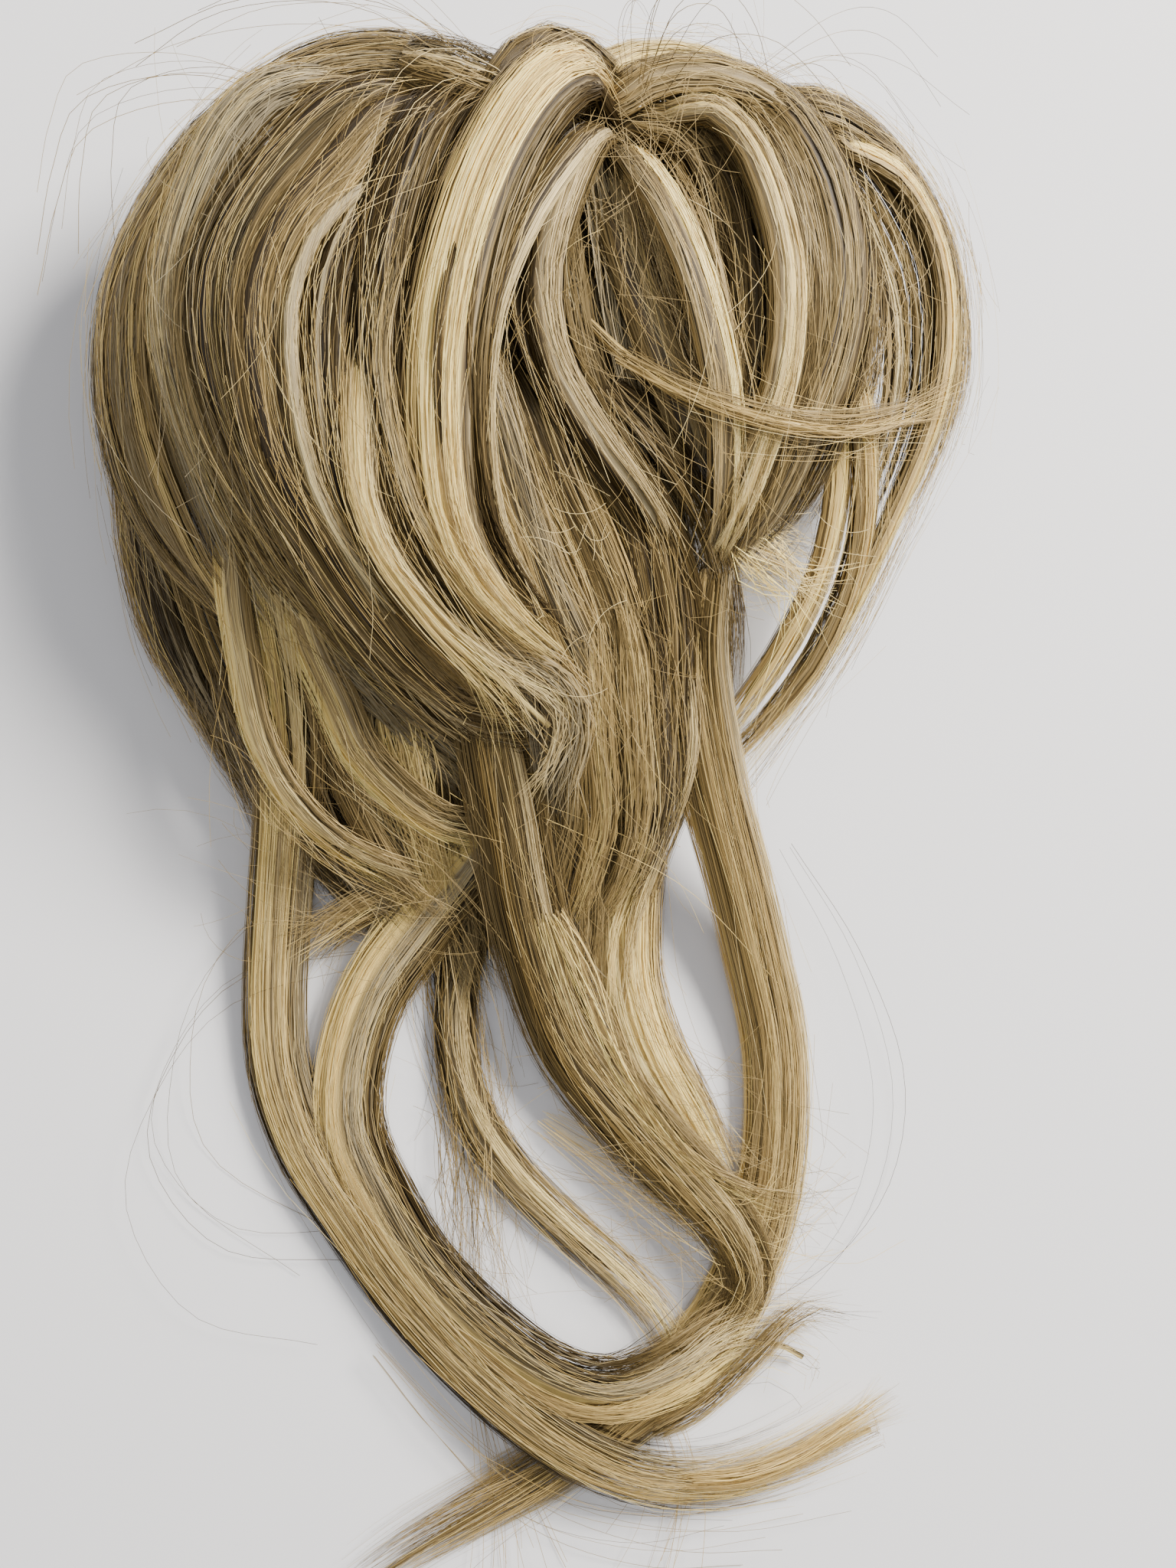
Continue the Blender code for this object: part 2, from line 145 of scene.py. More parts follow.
# How much darker the inner body is, painted shade in the hollow under the hairs; how much darker its
# underside and a hair on a lock's underside are, painted shade on the side turned down, away from the light;
# and how much darker a hair is at its root
BODY_PAINTED_SHADE = 0.17
BODY_UNDERSIDE_SHADE = 0.08
HAIR_UNDERSIDE_SHADE = 0.10
ROOT_DARKER = 0.10
# Least height above the floor of a hair, of an inner body and of a loose hair
HAIR_CLEARANCE = 0.2 * MM
BODY_CLEARANCE = 0.1 * MM
LOOSE_CLEARANCE = 0.4 * MM
# Short hairs that wrap round the filling: how many, points in each, the share that goes round on the right
WRAPS = 1580
WRAP_POINTS = 26
WRAPS_ON_RIGHT = 0.45
# Flyaways for each mm of a lock, points in each, the share that strays wildly and how much further it does
FLYAWAYS_PER_MM = 0.40
FLYAWAY_POINTS = 14
WILD_SHARE = 0.18
WILD_REACH = 2.6
# The chance parts of a stray hair's offset and swing are cut off at this many times their spread
STRAY_LIMIT = 1.1
FRIZZ_POINTS = 8
SEED = 20
ROUTE_SAMPLES = 90

# Camera: almost overhead, from a little to the left, as the photograph was taken
SENSOR_HEIGHT = 36
IMAGE_HEIGHT = 2048
FOCAL_PIXELS = 2400
CAMERA_DISTANCE = 0.333
CAMERA_TILT = 12
AIM = (55.33, 96.15)
FLOOR_SIZE = 3

# Shade card: how light and how ash each tone is, from 0 to 1
TONES = {
    "shadow": (0.0, 0.2), "umber": (0.06, 0.25), "brown": (0.18, 0.25), "tan": (0.36, 0.25),
    "gold": (0.46, 0.0), "honey": (0.62, 0.05), "butter": (0.80, 0.15), "cream": (0.96, 0.0),
    "pale": (1.0, 0.12), "smoke": (0.22, 0.9), "ash": (0.40, 0.9), "beige": (0.68, 0.65),
    "silver": (0.86, 0.95),
}
# Lowest and highest place on the shade card that is used
CARD_ENDS = (0.004, 0.996)
# Locks that come out from under others thin, and how thin there, as a share of their width
NARROW_ROOTS = {"cream": 0.30, "left_cream": 0.15, "inner": 0.5, "left_hook": 0.3, "left_silver": 0.2}
# Streaks in the combed fibre, across all the bodies of a piece and along one: single hairs, then tufts
HAIR_STREAKS = (1300, 9, 1)
TUFT_STREAKS = (260, 3, 1)
# Scale of the elastic's slanted bands: drawn coarser than its real picks of about 0.6 mm, and hidden by hair
BRAID_SCALE = 165.7864
# Tips that fan out to one side: how far, in half widths of the lock, to the left of its run if above nought
FANS = {"cream": 1.2, "outer": 0.8, "right": -1.0, "left_cream": -0.6, "right_rim": -0.5, "left_sweep": 0.4}
WARM_CARD = (
    "#2a1e0c", "#4a3a1c", "#6e5a32", "#907848", "#b0945c", "#ccb06e", "#e6cb7c", "#fade88", "#ffea96",
)
ASH_CARD = (
    "#2b2518", "#4a412e", "#6d6450", "#8a7f67", "#a4997d", "#b8a780", "#cdbb8e", "#e0cf9e", "#efe2b4",
)

# Locks: the node that each belongs to, widest and tip width, how far its tip frays, its tones from left to
# right as it runs down, and its route in percent of the bun's width, length and height
LOCKS = {
    "crown_arch": ("crown_lock", 5, 4, 0.1, "brown tan brown gold", (
        (53, 12, 72), (50, 8, 74), (45, 7, 78), (41, 11, 82), (37, 19, 84))),
    "crown_blonde": ("crown_lock", 8.3, 4, 0.15, "tan gold cream pale pale cream tan cream cream brown "
                     "cream beige umber beige tan umber", (
        (53, 13, 74), (48, 11, 84), (42.5, 16, 90), (37.3, 27, 96), (34, 40, 99),
        (33, 53, 97), (34.6, 66, 92), (39.5, 74, 85), (46, 80, 77))),
    "crown_ash": ("crown_lock", 3.2, 3, 0.2, "tan umber beige", (
        (52, 15, 78), (47, 21, 88), (41.4, 31, 94), (37.6, 43, 95), (36.9, 55, 92), (38.6, 66, 87),
        (43.4, 76, 81))),
    "left_rim": ("left_wing", 8, 4, 0.2, "brown tan brown gold tan ash brown", (
        (38, 12.5, 66), (33, 9, 67), (28.5, 8.5, 65), (22, 9.8, 62), (15, 14.5, 58), (8, 22.5, 53),
        (2.2, 35, 45),
        (1.2, 48, 40), (4, 61, 38), (9, 70, 38), (14, 75, 38))),
    "left_ash": ("left_wing", 6.8, 6, 0.6, "beige silver ash silver ash smoke ash smoke", (
        (26, 11, 72), (17, 14, 70), (12.5, 19, 67), (9.5, 26, 64), (7.5, 33.5, 61), (7, 41, 60), (8, 48, 59),
        (10, 55, 57), (12.5, 61, 55), (16, 68, 52), (19.5, 74, 50), (24.5, 80, 46), (30, 84.5, 42),
        (35, 87, 38))),
    "left_brown": ("left_wing", 6.5, 6, 0.5, "brown umber brown tan smoke brown umber", (
        (34, 14, 80), (25, 16.5, 80), (19, 22.5, 80), (14.5, 29.5, 79), (12, 36, 78), (11.5, 43, 77),
        (12.5, 49.5, 76),
        (14.5, 56, 73), (17, 62, 70), (20, 68, 66), (23.5, 73, 62), (28, 79, 56), (33.5, 83, 50),
        (39.5, 88, 43))),
    "left_gold": ("left_wing", 6.3, 4, 0.4, "brown tan umber brown tan brown tan gold", (
        (35, 14.5, 81), (27.5, 18, 83), (22.7, 24.5, 86), (18.2, 31, 88), (15.6, 38, 89), (15, 44, 89),
        (15.6, 50.5, 88),
        (16.8, 57, 86), (18.9, 62, 83), (22, 67.5, 80), (25.2, 73, 76), (30.8, 80.5, 69), (37, 86, 59))),
    "left_silver": ("left_wing", 1.4, 2.5, 0.3, "silver beige", (
        (32, 20, 82), (25.4, 27.5, 90), (21, 33, 94), (18.7, 39, 95), (18, 44, 96), (18.2, 49.5, 96),
        (19, 55.5, 94), (20.6, 62, 91), (22.6, 66.5, 88), (25.4, 71, 84), (29, 76, 78))),
    "left_cream": ("left_wing", 3.6, 9, 0.9, "tan butter pale cream beige", (
        (29.5, 29.5, 72), (27.2, 37, 80), (25.6, 43.5, 87), (24.6, 50, 92), (24.5, 57, 94), (24.8, 62, 93),
        (26, 66.5, 91), (27.8, 70.5, 88),
        (30.3, 74, 85), (33.5, 78, 82), (37.3, 81.5, 78), (41.5, 85, 72), (46, 89, 63))),
    "left_dark": ("left_wing", 5.2, 3, 0.2, "umber shadow umber silver shadow umber shadow umber", (
        (34, 15.5, 80), (29.5, 20.5, 84), (24.8, 30, 88), (22.2, 36.5, 90), (21.2, 43.5, 90), (21.2, 50, 90),
        (21.8, 56.5, 88), (22.8, 62.5, 85), (25.4, 68, 80), (29.5, 73, 74))),
    "left_shade": ("left_wing", 6, 4, 0.2, "umber brown umber brown umber brown", (
        (38, 13, 80), (32, 18, 85), (29, 25.5, 90), (27.3, 33, 92), (26.8, 41, 92), (27, 47, 92),
        (27.2, 53, 91),
        (27.8, 59.5, 89), (29.2, 65.5, 85), (31.5, 71, 81), (35, 76, 76), (38.5, 79.5, 71))),
    "left_edge": ("left_wing", 2.2, 4, 0.4, "umber brown ash tan brown", (
        (40, 13, 80), (34, 19.5, 87), (30.5, 30, 92), (28.3, 38, 95), (27.2, 44, 97), (27, 49, 98),
        (27.6, 54, 98),
        (28.7, 59, 97), (30.4, 64.5, 95), (32.8, 68.7, 91), (35.8, 73, 87), (39.2, 77, 81), (43, 80.5, 75))),
    "left_under": ("left_wing", 10, 4, 0.2, "gold brown umber umber brown", (
        (4, 36, 50), (4, 46, 42), (4, 56, 32), (4.5, 66, 25), (6.5, 76, 21), (10, 84, 18), (13, 89, 16))),
    "left_sweep": ("left_wing", 6, 6, 0.7, "silver cream cream beige honey beige tan", (
        (18.5, 70, 54), (20.4, 77.5, 49), (23.5, 85, 45), (26, 91.5, 42), (30, 96.5, 39),
        (34.5, 100.5, 34), (41, 103, 29))),
    "left_hook": ("left_wing", 4.2, 6, 0.7, "pale cream butter beige tan", (
        (12.2, 62, 56), (12.6, 71, 50), (13.8, 80, 46), (15.8, 90.5, 43), (19.8, 98.5, 39), (25.5, 104, 33),
        (33.5, 108, 26))),
    "right_silver": ("right_wing", 4.5, 3, 0.1, "brown tan silver beige tan brown", (
        (53, 15, 72), (49, 19, 80), (45.5, 28, 86), (43.8, 37, 88), (45.2, 46, 87),
        (49.5, 54, 84), (54.5, 61, 80), (60, 69, 70))),
    # Its left edge in shadow tones is painted shade along the dark gap beside it
    "right_ash": ("right_wing", 4, 3, 0.1, "shadow shadow umber tan ash brown", (
        (47, 24, 80), (43.4, 31, 84), (41.8, 39, 85), (44, 47, 84), (48.4, 55, 80), (53.5, 62, 75),
        (59, 70, 66))),
    "right_cream": ("right_wing", 4.2, 3, 0.1, "tan ash tan beige pale", (
        (53, 16, 66), (54.2, 21, 80), (56.6, 26, 85), (59.3, 34, 89), (61.4, 42, 89), (62.8, 48.5, 87),
        (63.6, 55, 83),
        (64, 62, 77), (64, 69, 70))),
    "right_olive": ("right_wing", 5.5, 3, 0.1, "brown tan ash tan brown", (
        (52, 18, 66), (53, 27.5, 73), (55, 36, 76), (58, 45.5, 77), (60.5, 53, 75), (62, 60, 71))),
    "right_loop": ("right_wing", 4.8, 4, 0.1, "tan beige pale cream beige tan", (
        (54, 16, 68), (58.6, 14, 76), (62.8, 14.5, 83), (66, 19.5, 88), (68.2, 26, 90), (69.7, 33, 90),
        (70, 40, 89),
        (69.5, 47, 87), (68, 54, 83), (66, 61.5, 78), (64, 68.5, 70))),
    "right_brown": ("right_wing", 7, 4, 0.1, "tan brown tan ash tan brown", (
        (64, 11, 70), (70, 11.5, 75), (74.5, 19, 79), (76.8, 27.5, 80), (77.3, 35, 80), (76.3, 42.6, 79),
        (74.2, 50, 77), (71, 59.5, 73), (67, 68, 66))),
    "right_thin": ("right_wing", 5, 3, 0.1, "umber brown tan brown umber", (
        (60, 14, 70), (63.8, 21.5, 76), (65.8, 29, 79), (66.7, 37, 80), (66.7, 45, 79), (66, 53.5, 77),
        (65, 61, 73))),
    "right_rim": ("right_wing", 6, 3, 0.8, "brown tan brown tan ash", (
        (69, 10, 66), (77, 9.8, 63), (84, 13, 58), (89.8, 18.5, 52), (93.8, 25.5, 47), (96, 34, 43),
        (96.4, 42, 41),
        (95, 50, 39))),
    "right_hoop": ("right_wing", 4.4, 6, 0.3, "brown honey pale cream butter", (
        (74, 13, 72), (80.5, 15.5, 67), (85.5, 17.5, 63), (88.7, 21, 60), (91.3, 26, 57), (92.8, 32.5, 54),
        (93, 40, 52), (92, 47, 49), (90, 54, 46), (86.5, 64.5, 40), (82.5, 75, 34), (77, 85, 27),
        (70.5, 95, 20))),
    "right_umber": ("right_wing", 3.6, 3, 0.4, "brown umber brown umber", (
        (74, 12, 70), (79, 13.5, 66), (82.5, 16.3, 62), (86, 20, 58), (89.2, 25, 55), (91.1, 31, 52),
        (91.6, 38, 50),
        (91.2, 45, 48), (89.8, 52, 45), (87, 61, 41))),
    "right_inner": ("right_wing", 4.2, 3, 0.4, "tan brown silver ash brown tan", (
        (76, 19, 74), (80, 23, 68), (83.3, 28, 62), (85.6, 34, 58), (86.4, 41, 55), (86, 48, 51),
        (84.5, 56, 46))),
    "right_pale": ("right_wing", 4, 5, 0.2, "gold butter cream honey", (
        (77.2, 41, 70), (78.7, 51, 63), (79.2, 60, 56), (78.2, 68, 49), (75.4, 76.5, 41), (72, 84, 33),
        (69, 89.5, 27))),
    "right_hem": ("right_wing", 4, 5, 0.2, "tan honey cream gold", (
        (80, 41, 68), (82.2, 53, 60), (83.2, 62, 52), (82.5, 71, 43), (79.5, 80.5, 34), (75, 87.5, 26),
        (70.5, 92.5, 21))),
    "top_pale": ("right_wing", 5, 4, 0.3, "butter cream beige butter tan", (
        (50, 13, 70), (52.5, 7.5, 66), (57.2, 5.2, 64), (63, 5.2, 64), (68, 7.6, 66), (72, 12, 70))),
    "top_veil": ("right_wing", 5, 4, 0.3, "tan beige tan brown", (
        (51, 14, 72), (56, 9.8, 74), (62.5, 8.8, 76), (69, 10.6, 76), (75.5, 16, 76))),
    "wisp": ("crossing_wisp", 1.4, 3.5, 0.5, "gold tan gold honey", (
        (49, 39, 72), (53.5, 45, 79), (59.3, 49.5, 84), (65.3, 52, 88), (71.8, 53, 87), (79, 52, 78),
        (87.5, 48.8, 62), (94, 45.5, 51))),
    "panel_left": ("filling_hair", 9, 6, 0.2, "brown tan gold tan ash tan", (
        (33, 34, 64), (35, 44, 77), (38, 55, 81), (41, 65, 77), (45, 75, 70), (50, 85, 60), (54, 94, 46))),
    "panel_middle": ("filling_hair", 8, 6, 0.2, "tan gold tan brown tan gold", (
        (38, 39, 60), (42, 49, 76), (46, 60, 76), (50.5, 70, 70), (54, 80, 62), (56, 90, 52), (57, 100, 36))),
    "panel_right": ("filling_hair", 7, 5, 0.2, "umber tan brown tan brown", (
        (54, 56, 72), (56, 66, 70), (58, 76, 64), (59, 86, 54), (60, 96, 42), (60, 103, 32))),
    "hollow_olive": ("filling_hair", 7, 4, 0.1, "brown tan brown umber brown", (
        (54, 16, 58), (52, 25, 61), (53, 34, 62), (55, 43, 60), (58, 53, 54), (60.5, 63, 48), (62, 71, 42),
        (63, 80, 34))),
    "root_knot": ("filling_hair", 9, 7, 0.1, "brown tan brown", (
        (36, 14, 56), (43, 15, 62), (52, 16, 60), (62, 16, 60), (70, 18, 58))),
    "cream": ("tendril_cream", 8, 7, 1.1, "butter pale cream beige ash smoke umber brown", (
        (44, 99, 23), (39.5, 107, 19), (34.5, 114, 13), (29.5, 122, 8), (26.8, 131, 5),
        (26.5, 140, 5), (30, 149, 5), (35, 158, 5), (42, 166, 8), (49.5, 172, 13), (57, 174.5, 14),
        (65, 172.5, 15), (72, 169.8, 11), (78, 170.5, 7), (82, 173, 4))),
    "outer": ("tendril_outer", 7, 7, 1.0, "tan cream butter beige cream tan ash brown", (
        (14, 66, 34), (16, 76, 30), (18, 87, 26), (19, 98, 19), (18.5, 110, 11), (18, 122, 6),
        (18.5, 132, 4), (21.5, 142, 4), (26.5, 151, 4), (32, 160, 4), (39, 169, 7), (47, 177, 12),
        (55, 183, 13), (63, 187, 8), (72, 188.5, 4), (81, 187, 3.5), (91, 183.5, 3))),
    "centre": ("tendril_centre", 9, 4, 0.2, "tan brown gold tan brown tan beige tan brown", (
        (38, 80, 48), (41, 89.5, 46), (43.2, 100, 40), (45.5, 110, 28), (48.5, 120, 18), (52.5, 130, 12),
        (59, 139, 11), (66, 147, 12), (71.5, 154, 14), (74, 161, 15), (71.5, 167.5, 10))),
    "right": ("tendril_right", 8, 4, 0.8, "honey tan gold butter tan gold tan beige", (
        (63.5, 69, 63), (63.5, 78, 53), (65, 87, 43), (68, 97, 30), (71.5, 107, 20), (75, 118, 11),
        (78, 130, 6), (78.5, 141, 5), (77.5, 151, 4.5), (75, 160, 4), (71, 168, 3.6), (65, 175, 3.6),
        (57, 181, 3.6), (49, 186.5, 3.2), (41, 191, 3), (34, 195, 2.6), (28, 199, 2.4))),
    "small": ("tendril_small", 4.8, 4.5, 0.8, "brown ash tan beige tan brown", (
        (50, 90, 12), (46, 103, 7), (41, 115, 4), (39, 126, 3.6), (40.5, 137, 3.6), (45.5, 146, 3.6),
        (52.5, 154, 3.6), (59.5, 161, 3.6), (64.5, 167.5, 3.6), (66.5, 174, 3.6))),
    "inner": ("tendril_inner", 7.5, 4, 0.2, "beige cream butter cream tan", (
        (59, 90, 20), (60, 103, 13), (60, 113, 7), (60.5, 122, 4), (63, 131, 3.6), (67.5, 139.5, 3.6),
        (72, 148, 3.6))),
}


def part_place(stations):
    """Points in metres for stations in percent across, down and up, before the part is set on its origin."""
    across, down, up = np.asarray(stations, float).T * PERCENT
    x = (across - 0.5) * BUN_WIDTH
    y = -np.minimum(down, 1) * BUN_LENGTH - np.maximum(down - 1, 0) * TENDRIL_REACH
    return np.stack([x, y, up * BUN_HEIGHT], 1)


band_low, band_high = (np.array(corner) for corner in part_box("elastic_band"))
ORIGIN_SHIFT = (band_low + band_high) / 2 - part_place([(*BAND_PLACE, 0)])[0]
ORIGIN_SHIFT[2] = 0


def place(stations):
    """Points in the frame for stations in percent across, down and up."""
    return part_place(stations) + ORIGIN_SHIFT


def smooth_curve(points, count):
    """Evenly spaced points along the smooth curve through the given ones, and the curve's length."""
    padded = np.vstack([2 * points[0] - points[1], points, 2 * points[-1] - points[-2]])
    steps = np.linspace(0, len(points) - 1, count * 4)
    span = np.minimum(steps.astype(int), len(points) - 2)
    part = (steps - span)[:, None]
    before, start, end, after = (padded[span + k] for k in range(4))
    fine = 0.5 * (2 * start + (end - before) * part + (2 * before - 5 * start + 4 * end - after) * part ** 2
                  + (3 * start - before - 3 * end + after) * part ** 3)
    runs = np.concatenate([[0], np.cumsum(np.linalg.norm(np.diff(fine, axis=0), axis=1))])
    goals = np.linspace(0, runs[-1], count)
    return np.stack([np.interp(goals, runs, fine[:, k]) for k in range(3)], 1), runs[-1]


def unit(vectors):
    """Vectors of length one."""
    return vectors / np.maximum(np.linalg.norm(vectors, axis=-1, keepdims=True), 1e-9)


def dome_normal(points):
    """Directions straight out of the bun's dome."""
    centre = place([(*DOME_CENTRE, DOME_FOOT)])[0]
    reach = np.array([DOME_REACH[0] * PERCENT * BUN_WIDTH, DOME_REACH[1] * PERCENT * BUN_LENGTH,
                      DOME_CROWN * PERCENT * BUN_HEIGHT])
    offset = points - centre
    offset[:, 2] = np.maximum(offset[:, 2], STEEPEST_LEAN * reach[2])
    return unit(offset / reach ** 2)


class Route:
    """A lock's centre line with its side and outward directions and its half width and half depth."""

    def __init__(self, stations, widest, tip, flat, sinks=(0, 0), narrow=ROOT_WIDTH):
        self.points, self.length = smooth_curve(place(stations), ROUTE_SAMPLES)
        share = np.linspace(0, 1, ROUTE_SAMPLES)
        self.points[:, 2] -= SINK_DEPTH * sinks[0] * np.maximum(1 - share / SINK_STRETCH, 0) ** 2
        self.points[:, 2] -= SINK_DEPTH * sinks[1] * np.maximum(1 - (1 - share) / SINK_STRETCH, 0) ** 2
        ahead = unit(np.gradient(self.points, axis=0))
        out = np.tile([0.0, 0.0, 1.0], (ROUTE_SAMPLES, 1)) if flat else dome_normal(self.points)
        self.side = unit(np.cross(out, ahead))
        self.out = unit(np.cross(ahead, self.side))
        grow = np.minimum(share / ROOT_STRETCH, 1)
        fall = np.maximum((share - 1 + TIP_STRETCH) / TIP_STRETCH, 0) ** 2
        root = narrow + (1 - narrow) * np.sin(grow * pi / 2)
        self.half = 0.5 * (widest * root * (1 - fall) + tip * fall) * PERCENT * BUN_WIDTH
        self.depth = self.half * LOCK_DEPTH
        self.crowding = 1 if flat else ROOT_CROWDING

    def at(self, share, values):
        """Values along the route read at shares of its length."""
        grid = np.linspace(0, 1, ROUTE_SAMPLES)
        if values.ndim == 1:
            return np.interp(share, grid, values)
        return np.stack([np.interp(share, grid, values[:, k]) for k in range(3)], -1)


def rolled(broad, ahead, roll):
    """Directions across a hair, turned about its run."""
    return broad * np.cos(roll) + unit(np.cross(broad, ahead)) * np.sin(roll)


def ribbon_corners(points, broad, half):
    """Two corners at each point of a hair, half its width to each side and clear of the floor."""
    corners = np.stack([points - broad * half, points + broad * half], 2)
    corners[..., 2] = np.maximum(corners[..., 2], HAIR_CLEARANCE)
    return corners


def card_places(light, ash):
    """Places on the shade card for how light and how ash a hair is."""
    return np.clip(np.stack([light, ash], -1), *CARD_ENDS)


def strand_grid(route, tones, fray, count, rng, loose=0.0, name=None):
    """Flat ribbons that follow a lock: corner points and shade-card places, one row for each strand."""
    sections = max(5, int(route.length / STRAND_STEP) + 2)
    top = rng.random(count) < TOP_SHARE
    angle = rng.random(count) * pi + np.where(top, 0, pi)
    groups = max(3, int(route.half.max() / MM * CLUMPS_PER_MM))
    centres = np.sort(rng.uniform(0, 2 * pi, groups * 2))
    clump = np.abs(angle[:, None] - centres[None]).argmin(1)
    nearest = centres[clump]
    start = rng.uniform(-0.01, 0.05, count) * min(1, ROOT_STAGGER / route.length)
    end = 1 - np.minimum(np.abs(rng.normal(0, 0.02 + 0.09 * fray, count)), 0.4) + rng.normal(0, 0.01, count)
    share = start[:, None] + (end - start)[:, None] * np.linspace(0, 1, sections)[None] ** route.crowding
    share = np.clip(share, 0, 1)
    pull = ROOT_DRAW + TIP_DRAW * share ** 2
    turn = angle[:, None] * (1 - pull) + nearest[:, None] * pull
    proud = np.sqrt(rng.uniform(0.5, 1.2 + loose, count))[:, None]
    across = np.cos(turn) * proud
    above = np.sin(turn) * proud
    for waves in LOCK_WAVES:
        size = rng.normal(0, (0.05 + loose) / waves ** 1.5, (2, count, 1))
        phase = rng.uniform(0, 2 * pi, (2, count, 1))
        across = across + size[0] * np.sin(waves * 2 * pi * share + phase[0])
        lift = np.abs(size[1]) * 0.8 * (1 + np.sin(waves * 2 * pi * share + phase[1]))
        above = above + lift * (1 if loose else 0.5)
    fan = FANS.get(name, 0)
    flare = np.clip((share - FRAY_START) / (1 - FRAY_START), 0, 1) ** 1.7
    spread = fray * rng.normal(0, 0.55, (count, 1)) + fan * rng.uniform(0.2, 1.4, (count, 1))
    across = across + spread * flare
    above = above + fray * rng.normal(0.1, 0.35, (count, 1)) * flare
    side = route.at(share, route.side)
    out = route.at(share, route.out)
    points = (route.at(share, route.points) + side * (route.at(share, route.half) * across)[..., None]
              + out * (route.at(share, route.depth) * above)[..., None])
    ahead = unit(np.gradient(points, axis=1))
    facing = unit(side * (across * LOCK_DEPTH)[..., None] + out * above[..., None])
    broad = unit(np.cross(ahead, facing))
    broad = rolled(broad, ahead, rng.normal(0, radians(STRAND_ROLL), (count, 1, 1)))
    run = np.linspace(0, 1, sections)
    taper = 1 - TIP_TAPER * np.clip((run - TAPER_START) / (1 - TAPER_START), 0, 1)[None, :, None]
    half = 0.5 * STRAND_WIDTH * rng.uniform(0.75, 1.3, (count, 1, 1)) * taper
    card = np.array([TONES[tone] for tone in tones.split()])
    slot = (np.cos(nearest) + 1) / 2 * len(card) - 0.5 + rng.normal(0, 0.28, count)
    picked = np.stack([np.interp(slot, range(len(card)), card[:, k]) for k in range(2)], 1)
    picked[:, 0] += rng.normal(0, 0.085, groups * 2)[clump]
    light = picked[:, :1] + rng.normal(0, 0.055, (count, 1))
    light = light - ROOT_DARKER * (1 - np.clip(share / 0.12, 0, 1))
    # Tone along the lock: its own colour, with painted shade at covered roots and low crossings and a painted
    # highlight on high arcs
    along = ALONG_TONE_AND_PAINTED_LIGHT.get(name, (0, 0))
    light = light + np.interp(share, np.linspace(0, 1, len(along)), along)
    # Painted shade: hairs on a lock's underside are darker
    light = light - HAIR_UNDERSIDE_SHADE * (np.sin(turn) < -0.1) + 0.03 * rng.normal(0, 1, (count, 1)) * share
    ash = picked[:, 1:] + rng.normal(0, 0.06, (count, 1)) + 0 * share
    return ribbon_corners(points, broad, half), np.repeat(card_places(light, ash)[:, :, None], 2, 2)


def body_grid(route, tones, fray, fullness, rng):
    """A lock's inner body: rings of a crowned section with shallow grooves, with shade-card places."""
    sections = max(8, int(route.length / BODY_STEP))
    share = np.linspace(0, 1, sections)[:, None] ** route.crowding
    turn = np.linspace(0, 2 * pi, BODY_SIDES, endpoint=False)[None]
    grooves = sum(
        rng.uniform(0.02, 0.05) * np.sin(number * turn + rng.uniform(0, 2 * pi) + share * rng.uniform(-2, 2))
        for number in (5, 8, 11))
    root = np.clip(share / 0.02, 0.02, 1)
    tip = np.clip((BODY_END - FRAYED_END * min(fray, 1) - share) / BODY_CLOSE, 0.004, 1) ** 0.8
    size = fullness * (1 + grooves) * np.sqrt(root * tip)
    across = np.cos(turn) * size
    above = np.sin(turn) * size
    flat = share[:, 0]
    sideways = route.at(flat, route.half)[:, None] * across
    outwards = route.at(flat, route.depth)[:, None] * above
    points = route.at(flat, route.points)[:, None] + route.at(flat, route.side)[:, None] * sideways[..., None]
    points = points + route.at(flat, route.out)[:, None] * outwards[..., None]
    points[..., 2] = np.maximum(points[..., 2], BODY_CLEARANCE)
    names = tones.split()
    slot = (np.cos(turn[0]) + 1) / 2 * (len(names) - 1)
    card = np.array([TONES[name] for name in names])
    # Painted shade: the inner body is darker than the hairs over it, and darker again on its underside
    light = np.interp(slot, range(len(names)), card[:, 0]) - BODY_PAINTED_SHADE
    light = light - BODY_UNDERSIDE_SHADE * (np.sin(turn[0]) < -0.1)
    ash = np.interp(slot, range(len(names)), card[:, 1])
    return points[None], card_places(np.tile(light, (sections, 1)), np.tile(ash, (sections, 1)))[None]


